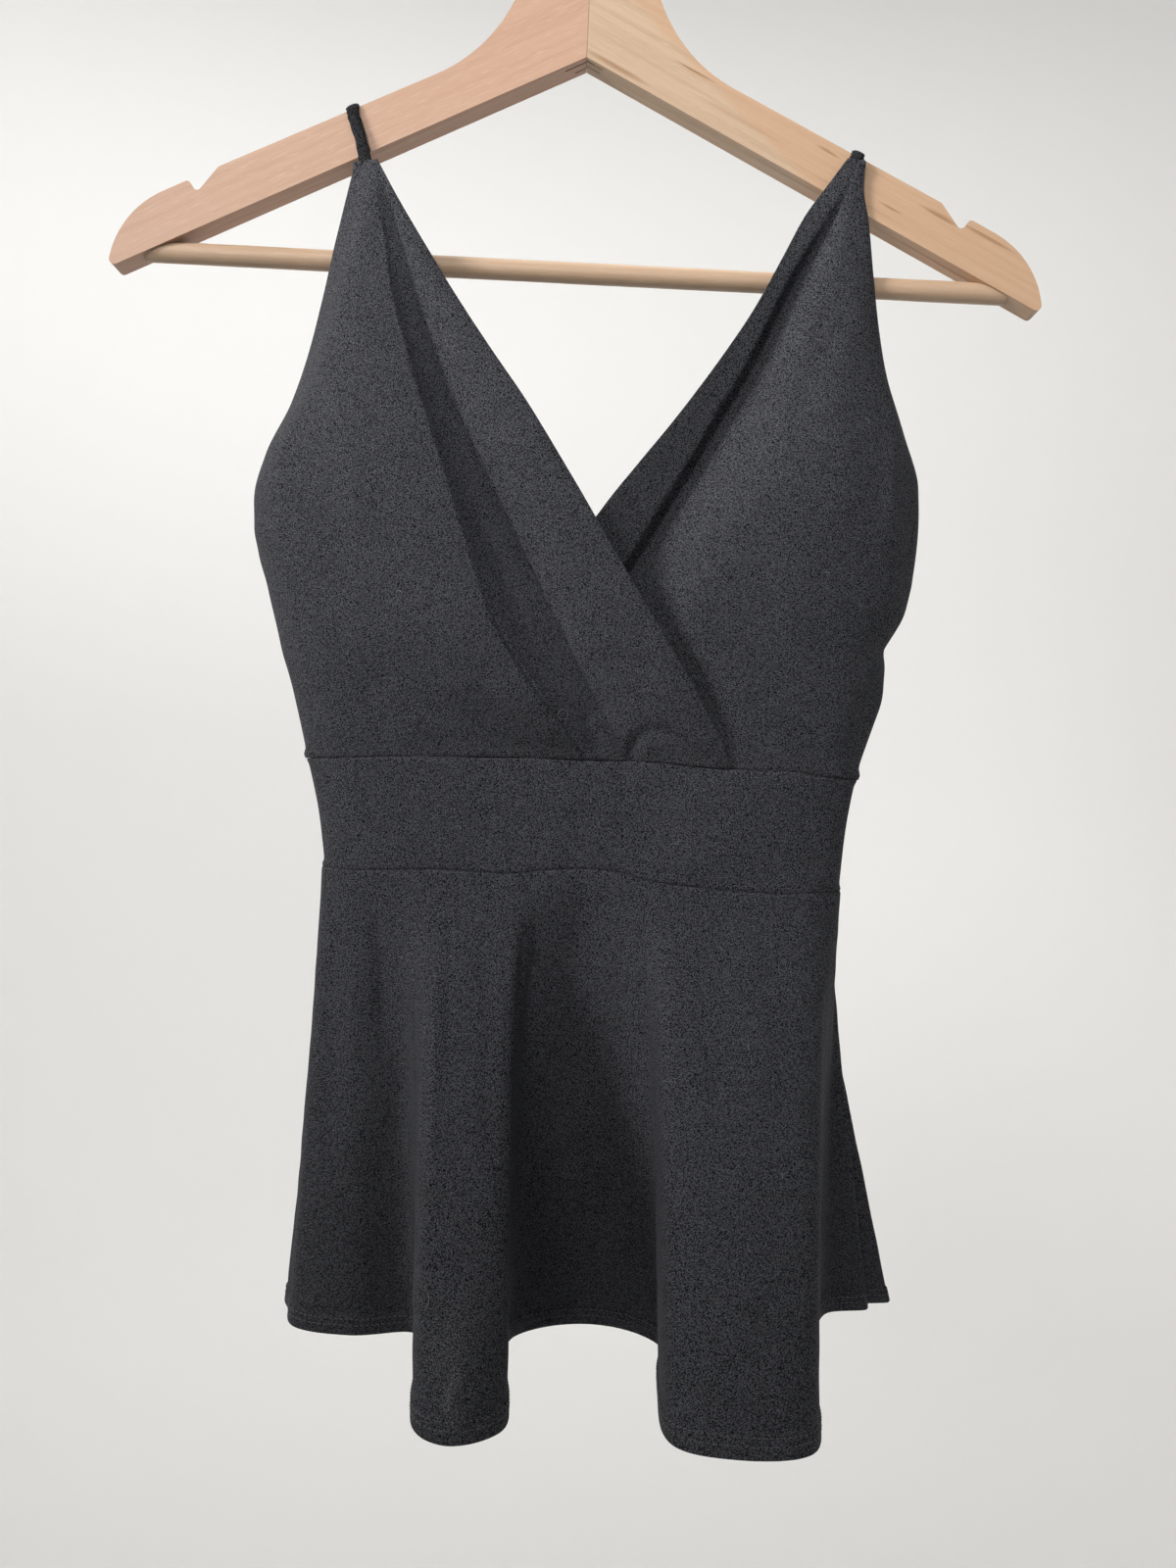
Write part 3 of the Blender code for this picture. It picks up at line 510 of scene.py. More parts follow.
# %% Creases of the other pieces
UNDER_CREASES = (
    ("beside the crease", 60.0, -352.0, 28.0, -392.0, 2.0, 7.0, 1.5),
    ("shoulder trough", 128.0, -225.0, 106.0, -330.0, 3.0, 8.0, 1.0),
    ("shoulder ridge", 116.0, -235.0, 92.0, -320.0, 2.0, 8.0, -0.8),
    ("armhole ridge", 150.0, -262.0, 150.0, -368.0, -3.0, 4.5, -1.1),
    ("armhole hollow", 160.0, -300.0, 163.0, -392.0, 0.0, 5.0, 1.4),
    ("rumple at the side", 163.0, -398.0, 140.0, -410.0, 1.0, 4.0, 1.1),
    ("low side", 151.0, -418.0, 138.0, -461.0, -1.5, 6.0, 1.5),
    ("beside the wrap", 35.0, -374.0, 82.0, -457.0, 0.0, 7.0, 3.4),
    ("broad swell", 108.0, -350.0, 118.0, -430.0, 0.0, 18.0, -1.0),
    ("waist trough", 112.0, -432.0, 116.0, -464.0, 0.0, 7.0, 0.6),
)
BACK_CREASES = (
    ("middle trough", 10.0, -362.0, 16.0, -462.0, 4.0, 14.0, -1.6),
    ("right drag", -112.0, -372.0, -60.0, -452.0, -4.0, 9.0, 1.4),
    ("left drag", 138.0, -380.0, 84.0, -456.0, 4.0, 10.0, 1.7),
    ("right ridge", -86.0, -360.0, -70.0, -440.0, 3.0, 10.0, -1.2),
    ("left rumple", 152.0, -396.0, 118.0, -408.0, 2.0, 5.0, 1.2),
    ("right low", -104.0, -432.0, -84.0, -462.0, 0.0, 6.0, 1.1),
    ("near the middle", 44.0, -380.0, 52.0, -458.0, -3.0, 9.0, -1.1),
)
BAND_CREASES = (
    ("right slack", -84.0, -470.0, -78.0, -516.0, 1.0, 10.0, 0.6),
    ("right swell", -44.0, -468.0, -40.0, -519.0, 1.0, 13.0, -0.6),
    ("under the pleat", 22.0, -462.0, 18.0, -500.0, 2.0, 8.0, 0.7),
    ("small tuck", 34.0, -463.0, 37.0, -484.0, 0.0, 3.0, 0.5),
    ("left swell", 74.0, -466.0, 84.0, -518.0, 0.0, 16.0, -0.6),
    ("left slack", 118.0, -470.0, 122.0, -518.0, -1.0, 8.0, 0.7),
)


# %% Creases, slack and seams as functions
def crease_field(rows, x, z):
    """The sum of all creases of a table at the given points."""
    total = np.zeros(np.broadcast(x, z).shape)
    for _, x0, z0, x1, z1, bow, width, depth in rows:
        run, fall = x1 - x0, z1 - z0
        length = math.hypot(run, fall)
        t = ((x - x0) * run + (z - z0) * fall) / length ** 2
        off = ((x - x0) * fall - (z - z0) * run) / length - bow * 4 * t * (1 - t)
        total = total + depth * ease(t / 0.3) * ease((1 - t) / 0.3) * bump(off / width)
    return total


SLACK_WAVES, SLACK_DEPTH = (64.0, 43.0, 29.0, 21.0, 15.0), 0.22


def slackness(x, z, seed):
    """Slow, shallow unevenness, because hanging cloth is nowhere perfectly smooth."""
    draw = np.random.default_rng(seed)
    total = 0.0
    for wave in SLACK_WAVES:
        a, phase = draw.uniform(0, math.pi), draw.uniform(0, 2 * math.pi)
        along = x * math.cos(a) + z * math.sin(a)
        total = total + wave / SLACK_WAVES[0] * np.sin(2 * math.pi * along / wave + phase)
    return SLACK_DEPTH * total


GATHERS, GATHER_DEPTH, GATHER_REACH = (17.0, 11.3, 7.1, 5.3), 0.09, 6.0


def seam_pucker(x, down, seed):
    """Small gathers beside a seam, where the thread pulls the cloth; down is the distance from it."""
    draw = np.random.default_rng(seed)
    total = 0.0
    for wave in GATHERS:
        total = total + np.sin(2 * math.pi * x / wave + draw.uniform(0, 2 * math.pi))
    return GATHER_DEPTH * total * np.exp(-np.abs(down) / GATHER_REACH)


def seam_tuck(down):
    """The cloth turns in at a seam, so that the seam shows as a fine groove."""
    return 0.6 * np.exp(-(down / 0.8) ** 2)


# %% [markdown]
# ## From a table to a piece of cloth
# A grid is a natural start for woven or knitted cloth, because its rows and columns run as the cloth
# does. The grid's points are moved to the surface, and Solidify gives it the cloth's thickness. Turned
# edges are two layers thick and round, so the thickness follows a vertex group. The UV map is measured
# along the cloth in metres, so the crepe's grain has the same size everywhere.

# %% A piece of cloth from rows of points
CLOTH, DOUBLE = 1.1, 2.4


def cloth_map(points):
    """Distances along the rows and down the columns, for the UV map, in metres."""
    across = np.linalg.norm(np.diff(points, axis=1), axis=2)
    down = np.linalg.norm(np.diff(points, axis=0), axis=2)
    u = np.concatenate([np.zeros((len(points), 1)), np.cumsum(across, axis=1)], axis=1)
    v = np.concatenate([[0.0], np.cumsum(down.mean(axis=1))])
    u = u - u[:, u.shape[1] // 2][:, None]
    return np.stack([u, np.repeat(-v[:, None], u.shape[1], axis=1)], axis=2) * MM


def edge_thickness(distance, turned):
    """Thickness of the cloth at a distance from a turned edge: two layers, with a round fold."""
    layers = CLOTH + (DOUBLE - CLOTH) * ease((turned - distance) / 1.2)
    round_off = np.sqrt(np.clip(1 - (1 - np.clip(distance / 1.1, 0, 1)) ** 2, 0.02, 1))
    return layers * round_off


def cloth_piece(name, points, thickness=None, chalk=None):
    """A grid primitive takes the points row by row and is given its thickness."""
    rows, columns, _ = points.shape
    bpy.ops.object.select_all(action="DESELECT")
    bpy.ops.mesh.primitive_grid_add(x_subdivisions=columns - 1, y_subdivisions=rows - 1, size=1.0)
    piece = bpy.context.active_object
    piece.name = piece.data.name = name
    mesh = piece.data
    mesh.vertices.foreach_set("co", (points * MM).reshape(-1))
    corner = np.empty(len(mesh.loops), int)
    mesh.loops.foreach_get("vertex_index", corner)
    mesh.uv_layers.active.data.foreach_set("uv", cloth_map(points).reshape(-1, 2)[corner].reshape(-1))
    if chalk is not None:
        mesh.attributes.new("chalk", "FLOAT", "POINT").data.foreach_set("value", chalk.reshape(-1))
    wall = piece.modifiers.new("thickness", "SOLIDIFY")
    wall.thickness, wall.offset, wall.use_even_offset = DOUBLE * MM, 0.0, False
    wall.use_quality_normals = True
    group = piece.vertex_groups.new(name="thickness")
    layers = np.full((rows, columns), CLOTH) if thickness is None else thickness
    for index, weight in enumerate((layers / DOUBLE).reshape(-1)):
        group.add([index], float(weight), "REPLACE")
    wall.vertex_group, wall.thickness_vertex_group = "thickness", 0.0
    bpy.ops.object.modifier_apply(modifier="thickness")
    mesh.shade_smooth()
    print(f"{name}: {len(mesh.polygons)} faces")
    return piece


# %% Spacing of rows and columns
SEAM_HALF_GAP, SEAM_STRAIGHT = 0.15, 0.7
EDGE_STEPS = (0.0, 0.12, 0.3, 0.6, 1.1)
SEAM_STEPS = (0.0, 0.35, 0.8, 1.3, 2.0, 3.0)


def levels(top, bottom, count, at_top=EDGE_STEPS, at_bottom=SEAM_STEPS):
    """Heights from a top edge down to a seam, with finer steps at both."""
    middle = np.linspace(top - at_top[-1], bottom + at_bottom[-1], count)
    return np.concatenate([top - np.array(at_top[:-1]), middle, (bottom + np.array(at_bottom[:-1]))[::-1]])


def joined(*parts):
    """Stretches of columns one after the other, without the doubled ends."""
    return np.concatenate([parts[0]] + [part[1:] for part in parts[1:]])


# %% [markdown]
# ## The over panel
# It covers the wearer's right and wraps on top. Columns lie closest together where the cloth turns:
# round the side, over the ridge, in the valley and along the neckline. Above the waist seam, beside the
# wrap's corner, the cloth puckers into a small arch.

# %% The pucker above the waist seam
def pucker_arch(x, z):
    """A narrow groove along an arch over the seam; below the arch the cloth comes back slowly."""
    arch = spline(PUCKER_ARCH, 8)
    away = np.hypot(x[:, None] - arch[:, 0], z - arch[:, 1])
    near = away.argmin(axis=1)
    distance, depth, width = away[np.arange(len(x)), near], arch[near, 2], arch[near, 3]
    inside = z < np.interp(x, arch[:, 0], arch[:, 1], left=BAND_TOP - 9, right=BAND_TOP - 9)
    return depth * bump(distance / np.where(inside, PUCKER_INSIDE * width, width))


# %% What both front panels need
ARMHOLE_TURN, NECK_TURN, TIP_TURN, SIDE_TURN = 5.0, 6.0, 4.0, 1.1
BACK_SIDE_TOP = -343.0
SLACK_FADE = 14
SEAM_SHARE = 0.6


def turn_of_side(x, y, at_start):
    """The last step of a section, straight back into the side seam or the armhole's edge."""
    steps = SEAM_STRAIGHT * np.array([0.35, 1.0])
    if at_start:
        return np.concatenate([[x[0], x[0]], x]), np.concatenate([y[0] + steps[::-1], y])
    return np.concatenate([x, [x[-1], x[-1]]]), np.concatenate([y, y[-1] + steps])


def front_rows(heights, section, neckline, at_right):
    """Rows of a front panel, from the strap's tip to the waist seam, and the cloth's thickness there."""
    grid, thick = [], []
    for z in heights:
        level = max(z, BAND_TOP + SEAM_STRAIGHT)
        x, y = turn_of_side(*section(z, level), at_start=at_right)
        share = (z - heights[0]) / (heights[-1] - heights[0])
        seam = front_upper_seam(x) + SEAM_HALF_GAP - BAND_TOP
        grid.append(np.stack([x, y, z + seam * ease((share - SEAM_SHARE) / (1 - SEAM_SHARE))], axis=1))
        to_neck = neckline(level) - x if at_right else x - neckline(level)
        to_side = x - x[0] if at_right else x[-1] - x
        neck = edge_thickness(to_neck, NECK_TURN)
        armhole = edge_thickness(to_side + SIDE_TURN, ARMHOLE_TURN) if z > BACK_SIDE_TOP else CLOTH
        tip = edge_thickness(heights[0] - z, TIP_TURN)
        inner = np.minimum(np.maximum(neck * (neck >= CLOTH), armhole), tip)
        thick.append(inner * (neck >= CLOTH) + neck * (neck < CLOTH))
    return np.array(grid), np.array(thick)


# %% The over panel
def over_columns(z):
    side, ridge, valley, neck = right_side(z), over_ridge(z), over_valley(z), over_neckline(z)
    a, b = min(3.0, 0.4 * (ridge - side)), min(6.0, 0.4 * (valley - ridge))
    c, d = min(3.0, 0.3 * (valley - ridge)), min(6.0, 0.35 * (neck - valley))
    e = min(4.0, 0.3 * (neck - valley))
    round_side = side + (ridge - a - side) * (1 - np.cos(np.linspace(0, math.pi / 2, 56)))
    tail = neck - e * (1 - np.linspace(0, 1, 11)) ** 1.6
    return joined(round_side, np.linspace(ridge - a, ridge + b, 15), np.linspace(ridge + b, valley - c, 9),
                  np.linspace(valley - c, valley + d, 14), np.linspace(valley + d, neck - e, 52), tail)


def over_section(z, level):
    x, down = over_columns(level), z - BAND_TOP
    y = (over_front(x, level) + crease_field(OVER_CREASES, x, level) + slackness(x, z, 3)
         * ease((x - x[0]) / SLACK_FADE) + seam_pucker(x, down, 5) + pucker_arch(x, z) + seam_tuck(down))
    return x, y


over_heights = levels(OVER[0][0], -438.0, 112, at_bottom=(0.0, 0.8))
over_heights = np.concatenate([over_heights[:-2], levels(-437.2, BAND_TOP, 32, at_top=(0.0,))])
over = cloth_piece("over_panel", *front_rows(over_heights, over_section, over_neckline, at_right=True))

# %% [markdown]
# ## The under panel
# It covers the wearer's left. The strip along its neckline is turned and lies in front, so its edge
# shades the broad part that comes out from under it. Below the wrap it runs on behind the over panel.


# %% The turned strip along the neckline
# how far it stands in front, how steeply it falls back to its edge, and by how much at the most
STRIP_LEAD, STRIP_FALL, STRIP_DEEPEST = 1.8, 0.26, 5.0
UNDER_EDGE = (
    # past the strip's edge, further back than the edge
    (-0.7, 0.0), (0.2, 0.5), (0.5, 1.4), (-0.6, 3.2), (-1.6, 5.6), (-0.4, 8.2), (3.2, 8.8),
)
SLOPE_OUT = (
    # past the strip's edge, share of the way out to the broad part
    (10.0, 0.24), (21.0, 0.58), (32.0, 0.85), (43.0, 1.0),
)


def strip_amount(z):
    """The strip is turned below the strap and lies flat again where the over panel hides it."""
    return ease((-178.0 - z) / 70) * ease((z + 450.0) / 60)


def strip_and_broad(z):
    """One level of the under panel: the neckline strip, the gap under its edge and the broad part."""
    side, edge, neck = left_side(z), under_crease(z), under_neckline(z)
    amount = strip_amount(z)
    wide = min(1.0, 0.55 * (side - edge) / SLOPE_OUT[-1][0])
    fall = min(STRIP_FALL * (edge - neck), STRIP_DEEPEST)
    dx = [row[0] for row in UNDER_EDGE] + [wide * row[0] for row in SLOPE_OUT]
    even = np.linspace(dx[0], dx[-1], len(dx))
    x_turn = edge + even + (np.array(dx) - even) * amount
    x_turn = np.maximum(x_turn, neck + 0.3 * (edge - neck))
    flat = under_front(x_turn, z)
    low = plain_front(x_turn, z) - STRIP_LEAD + fall
    turned = low + np.array([row[1] for row in UNDER_EDGE] + [UNDER_EDGE[-1][1]] * len(SLOPE_OUT))
    share = np.array([0.0] * len(UNDER_EDGE) + [row[1] for row in SLOPE_OUT])
    turned = turned * (1 - share) + flat * share
    turn = spline(np.stack([x_turn, flat + (turned - flat) * amount], axis=1), 5)
    start, stop = x_turn[0], x_turn[-1]
    e = min(4.0, 0.4 * (start - neck))
    x_strip = joined(neck + e * np.linspace(0, 1, 11) ** 1.6, np.linspace(neck + e, start, 14))
    along = (x_strip - neck) / (start - neck)
    lead = STRIP_LEAD * amount
    y_strip = under_front(x_strip, z) + (turned[0] - flat[0] + STRIP_LEAD) * amount * along - lead
    x_broad = side - (side - stop) * (1 - np.cos(np.linspace(0, math.pi / 2, 62)))[::-1]
    x = joined(x_strip, turn[:, 0], x_broad)
    return x, joined(y_strip, turn[:, 1], under_front(x_broad, z))


# %% The under panel
def under_section(z, level):
    x, y = strip_and_broad(level)
    down = z - BAND_TOP
    y = (y + crease_field(UNDER_CREASES, x, level) + slackness(x, z, 8) * ease((x[-1] - x) / SLACK_FADE)
         + seam_pucker(x, down, 9) + seam_tuck(down))
    return x, y


under_heights = levels(UNDER[0][0], BAND_TOP, 138)
under = cloth_piece("under_panel", *front_rows(under_heights, under_section, under_neckline, at_right=False))

# %% [markdown]
# ## The back
# The back is one piece, cut straight across below the armholes. Its top edge hangs a little lower in
# the middle, and slack cloth makes a few soft drags towards the side seams. It is made as the fronts
# are, from rows of points, because its rows then meet theirs at the side seams.


# %% The back
BACK_DIP, BACK_TURN = 12.0, 8.0


def full_width(count):
    """Shares from side to side, closest together where the cloth turns round the sides."""
    return (1 - np.cos(np.linspace(0.0, math.pi, count))) / 2


def back_top(x):
    across = (x - right_side(BACK_SIDE_TOP)) / (left_side(BACK_SIDE_TOP) - right_side(BACK_SIDE_TOP))
    return BACK_SIDE_TOP - BACK_DIP * (1 - (2 * across - 1) ** 2)


def back_y(x, z):
    return plain_back(x, z) + 2 * SEAM_STRAIGHT + 2 * SEAM_HALF_GAP


def back_section(x, y, z):
    """A row of points with its straight returns towards the front at both ends."""
    row = np.stack([x, y, z], axis=1)
    steps = [np.array([0.0, -SEAM_STRAIGHT * share, 0.0]) for share in (1.0, 0.35)]
    return np.vstack([[row[0] + step for step in steps], row, [row[-1] + step for step in steps[::-1]]])


def back_panel():
    across = full_width(120)
    right, left = right_side(BACK_SIDE_TOP), left_side(BACK_SIDE_TOP)
    top = back_top(right + (left - right) * across)
    grid, thick = [], []
    for height in levels(0.0, -1.0, 60, at_top=(0.0, 0.001, 0.0025, 0.005, 0.009),
                         at_bottom=(0.0, 0.003, 0.007, 0.012, 0.018, 0.027)):
        z = top + (BAND_TOP - top) * -height
        level = np.maximum(z, BAND_TOP + SEAM_STRAIGHT)
        x = right_side(level) + (left_side(level) - right_side(level)) * across
        inner = ease((x - x[0]) / SLACK_FADE) * ease((x[-1] - x) / SLACK_FADE)
        y = (back_y(x, level) - (crease_field(BACK_CREASES, x, level) + slackness(x, z, 12)) * inner
             - seam_pucker(x, z - BAND_TOP, 15) - seam_tuck(z - BAND_TOP))
        seam = (back_upper_seam(x) + SEAM_HALF_GAP - BAND_TOP) * ease((-height - 0.6) / 0.4)
        grid.append(back_section(x, y, z + seam))
        thick.append(np.full(len(x) + 4, edge_thickness(float((top - z)[60]), BACK_TURN)))
    return cloth_piece("back_panel", np.array(grid)[:, ::-1], np.array(thick)[:, ::-1])


back = back_panel()

# %% [markdown]
# ## The waistband
# A level band between two seams, in a front and a back half. A ring cut from a cylinder would be too
# even: the seams wander a little, as sewn ones do. So each half is laid between two seam curves, and
# the cloth turns in at each seam, so that they show as fine dark grooves.


# %% The waistband
def band_half(name, front, count, rows, seed):
    across = full_width(count)
    height = BAND_TOP - BAND_BOTTOM
    steps = np.array(SEAM_STEPS) / height
    shares = np.concatenate([steps[:-1], np.linspace(steps[-1], 1 - steps[-1], rows), 1 - steps[:-1][::-1]])
    upper = front_upper_seam if front else back_upper_seam
    lower = front_lower_seam if front else back_lower_seam
    near = SEAM_STRAIGHT / height
    grid = []
    for share in shares:
        level = BAND_TOP - height * np.clip(share, near, 1 - near)
        x = right_side(level) + (left_side(level) - right_side(level)) * across
        high, low = upper(x) - SEAM_HALF_GAP, lower(x) + SEAM_HALF_GAP
        z = high + (low - high) * share
        inner = ease((x - x[0]) / SLACK_FADE) * ease((x[-1] - x) / SLACK_FADE)
        relief = ((crease_field(BAND_CREASES, x, z) if front else 0) + slackness(x, z, seed)) * inner
        relief = relief + seam_tuck(share * height) + seam_tuck((1 - share) * height)
        relief = relief + 0.5 * seam_pucker(x, share * height, seed + 1)
        relief = relief + 0.5 * seam_pucker(x, (1 - share) * height, seed + 2)
        if front:
            row_x, y = turn_of_side(x, plain_front(x, level) + relief, at_start=True)
            row_x, y = turn_of_side(row_x, y, at_start=False)
            grid.append(np.stack([row_x, y, np.concatenate([z[:1], z[:1], z, z[-1:], z[-1:]])], axis=1))
        else:
            grid.append(back_section(x, back_y(x, level) - relief, z))
    points = np.array(grid)
    return cloth_piece(name, points if front else points[:, ::-1])


band_front = band_half("waistband_front_half", True, 150, 30, 21)
band_back = band_half("waistband_back_half", False, 110, 20, 31)

# %% [markdown]
# ## The peplum
# It is cut on a curve, so its hem is much longer than the waist and hangs in flutes. Two large flutes
# stand forward at the front. A cloth simulation would not fall into just these folds, so the hem is
# drawn as a closed curve through its corners, and each fold runs up to its own place at the waist.


# %% Curves round the waist and the hem
FLARE_START = 0.12


def waist_loop():
    z = BAND_BOTTOM + SEAM_STRAIGHT
    x = right_side(z) + (left_side(z) - right_side(z)) * full_width(240)
    seam_y = side_y(z) + SEAM_STRAIGHT + SEAM_HALF_GAP
    right, left = np.array([x[0], seam_y]), np.array([x[-1], seam_y])
    front = np.vstack([right, np.stack([x, plain_front(x, z)], axis=1), left])
    behind = np.vstack([left, np.stack([x, back_y(x, z)], axis=1)[::-1], right])
    return front, behind


def at_share(path, share):
    run = np.concatenate([[0], np.cumsum(np.linalg.norm(np.diff(path, axis=0), axis=1))])
    return np.stack([np.interp(share * run[-1], run, path[:, i]) for i in (0, 1)], axis=1)


def round_waist(percent):
    front, behind = waist_loop()
    on_front = at_share(front, np.clip(percent / 50, 0, 1))
    on_back = at_share(behind, np.clip(percent / 50 - 1, 0, 1))
    return np.where(percent[:, None] <= 50, on_front, on_back)


def flare(share):
    """How far out the cloth is at a share of the way down: upright at the waist, then straight."""
    def run(t):
        return t - FLARE_START * (1 - np.exp(-t / FLARE_START))
    return run(share) / run(1.0)


# %% The peplum's surface
FOLD_STEPS = 12
PEPLUM_CREASES = (
    # place, percent round the waist at the top and the bottom, share down from and to, width, depth
    ("right flank trough", 3.6, 3.0, 0.05, 0.75, 0.9, 1.6),
    ("left of the first flute", 7.0, 7.4, 0.02, 0.45, 0.8, 1.6),
    ("first flute, soft line", 16.8, 17.6, 0.05, 0.70, 0.7, 0.8),
    ("first flute, right ridge", 12.7, 12.3, 0.02, 1.10, 0.70, -2.0),
    ("first flute, soft hollow", 15.4, 15.0, 0.15, 1.15, 1.3, 1.0),
    ("hollow beside the flute", 20.9, 20.7, 0.00, 0.90, 1.2, 2.6),
    ("first fold beside the flute", 20.3, 19.8, 0.12, 0.52, 0.40, 1.7),
    ("second fold beside the flute", 21.5, 21.7, 0.12, 0.46, 0.38, 1.5),
    ("recess hollow", 25.4, 25.6, -0.05, 0.70, 3.0, 4.4),
    ("recess trough", 24.6, 24.0, 0.20, 0.80, 0.8, 1.4),
    ("recess soft trough", 28.6, 28.2, 0.08, 0.60, 1.3, 1.6),
    ("second flute, soft line", 37.0, 37.6, 0.10, 0.80, 1.2, 0.7),
    ("second flute, left", 43.4, 43.0, 0.15, 0.85, 1.0, 0.7),
    ("back left", 60.0, 60.8, 0.05, 0.60, 1.2, 1.4),
    ("back left of middle", 71.0, 71.6, 0.10, 0.70, 1.0, 1.2),
    ("back middle", 81.4, 81.0, 0.05, 0.55, 1.0, 1.3),
    ("back right", 91.2, 91.6, 0.10, 0.75, 0.9, 1.2),
)


def fold_relief(percent, share):
    """The sum of all creases of the peplum along one row."""
    total = 0.0
    for _, high, low, start, stop, width, depth in PEPLUM_CREASES:
        t = (share - start) / (stop - start)
        centre = high + (low - high) * t
        total = total + depth * ease(t / 0.3) * ease((1 - t) / 0.4) * bump((percent - centre) / width)
    return total


def fold_curves():
    """The hem's points and their places round the waist, 0 to 100, with the matching waist points."""
    hem = spline([row[2:4] for row in PEPLUM], FOLD_STEPS, closed=True)
    stops = [row[1] for row in PEPLUM] + [100.0]
    at = np.arange(len(hem)) / FOLD_STEPS
    percent = smooth_curve(list(zip(range(len(stops)), stops)), 1)(at)
    return hem, percent, round_waist(percent)


def out_of(row):
    """Level unit vectors that point out of a row that runs from the right side over the front."""
    run = np.gradient(row[:, :2], axis=0)
    run = run / np.maximum(np.linalg.norm(run, axis=1, keepdims=True), 1e-9)
    return np.stack([run[:, 1], -run[:, 0]], axis=1)


def peplum_rows(shares, first, last):
    """Rows of points between two folds at the given shares of the way down."""
    places = [row[0] for row in PEPLUM]
    hem, percent, waist = fold_curves()
    begin = places.index(first) * FOLD_STEPS
    end = places.index(last) * FOLD_STEPS or len(hem)
    index = np.arange(begin - 1, end + 2) % len(hem)
    hem, waist, percent = hem[index], waist[index], percent[index]
    front = end < len(places) * FOLD_STEPS
    seam = (front_lower_seam if front else back_lower_seam)(waist[:, 0]) - SEAM_HALF_GAP
    grid = []
    for share in shares:
        flat = waist + (hem - waist) * flare(share)
        z = seam + (HEM - seam) * share
        down = (seam - HEM) * share
        normal = out_of(flat)
        relief = slackness(flat[:, 0], z, 41) * ease(share / 0.1) + fold_relief(percent, share)
        relief = relief + seam_pucker(waist[:, 0], down, 43) + seam_tuck(down)
        edge = ease(np.arange(len(flat)) / 6) * ease(np.arange(len(flat))[::-1] / 6)
        flat = flat - normal * (relief * edge)[:, None]
        row = np.stack([flat[:, 0], flat[:, 1], z], axis=1)
        run_in = (row[2] - row[1]) / np.linalg.norm(row[2] - row[1])
        run_out = (row[-2] - row[-3]) / np.linalg.norm(row[-2] - row[-3])
        row = row[1:-1]
        row[0] = row[0] + run_in * SEAM_HALF_GAP
        row[-1] = row[-1] - run_out * SEAM_HALF_GAP
        grid.append(row)
    return np.array(grid)


# %% The two halves of the peplum
LENGTH = BAND_BOTTOM - HEM
HEM_TURN = 9.3
HEM_STEPS = (0.0, 0.12, 0.3, 0.6, 1.1, 3.0, 6.0, 8.2, 8.7, 9.2, 9.8, 11.0)


def chalk_mark(points):
    """A thin chalky streak with a haze round it, low on the first flute."""
    x, z = points[..., 0], points[..., 2]
    streak = bump((x + 24.0 - 1.2 * np.sin(z / 3.0)) / 2.1) * bump((z + 720.0) / 7.5)
    haze = 0.42 * bump((x + 26.0) / 7.0) * bump((z + 705.0) / 11.0)
    return (streak + haze) * (points[..., 1] < -60.0)


def peplum_half(name, first, last, count):
    near, low = np.array(SEAM_STEPS) / LENGTH, np.array(HEM_STEPS) / LENGTH
    shares = np.concatenate([near[:-1], np.linspace(near[-1], 1 - low[-1], count), 1 - low[:-1][::-1]])
    points = peplum_rows(shares, first, last)
    thick = np.repeat(edge_thickness((1 - shares) * LENGTH, HEM_TURN)[:, None], points.shape[1], axis=1)
    return cloth_piece(name, points, thick, chalk=chalk_mark(points))


peplum_front = peplum_half("peplum_front_half", "right side seam", "left side seam", 96)
peplum_back = peplum_half("peplum_back_half", "left side seam", "right side seam", 80)

# %% [markdown]
# ## The straps
# Each strap is a narrow sewn tube, pressed flat. It starts at the tip of a front panel, lies over the
# hanger's arm and comes down behind to the top of the back. A curve with a bevel would twist where it
# crosses the arm, so a flattened ring of points is swept along the route and turned to the arm's slope.

# %% The straps
STRAP_WIDTH, STRAP_THICK, STRAP_TWIST, ARM_SLOPE = 6.1, 2.1, 5.0, 0.486
STRAP_RING = 14
STRAP_RIGHT = (
    # x, y, z
    (-101.9, -9.6, -185.6), (-104.0, -9.0, -177.0), (-108.2, -8.0, -165.0), (-109.6, -7.9, -161.0),
    (-110.2, -6.6, -157.4), (-110.3, 0.0, -156.2), (-110.0, 6.6, -157.4), (-109.5, 7.9, -161.0),
    (-108.0, 8.0, -168.0), (-95.0, 11.0, -250.0), (-80.0, None, None),
)
STRAP_LEFT = (
    (129.9, -9.9, -173.0), (130.2, -9.8, -170.7), (131.0, -8.9, -169.0), (131.9, -6.6, -167.6),
    (132.5, 0.0, -166.4), (132.2, 6.8, -168.0), (131.8, 7.9, -172.0), (131.0, 8.0, -179.0),
    (118.0, 11.0, -255.0), (102.0, None, None),
)


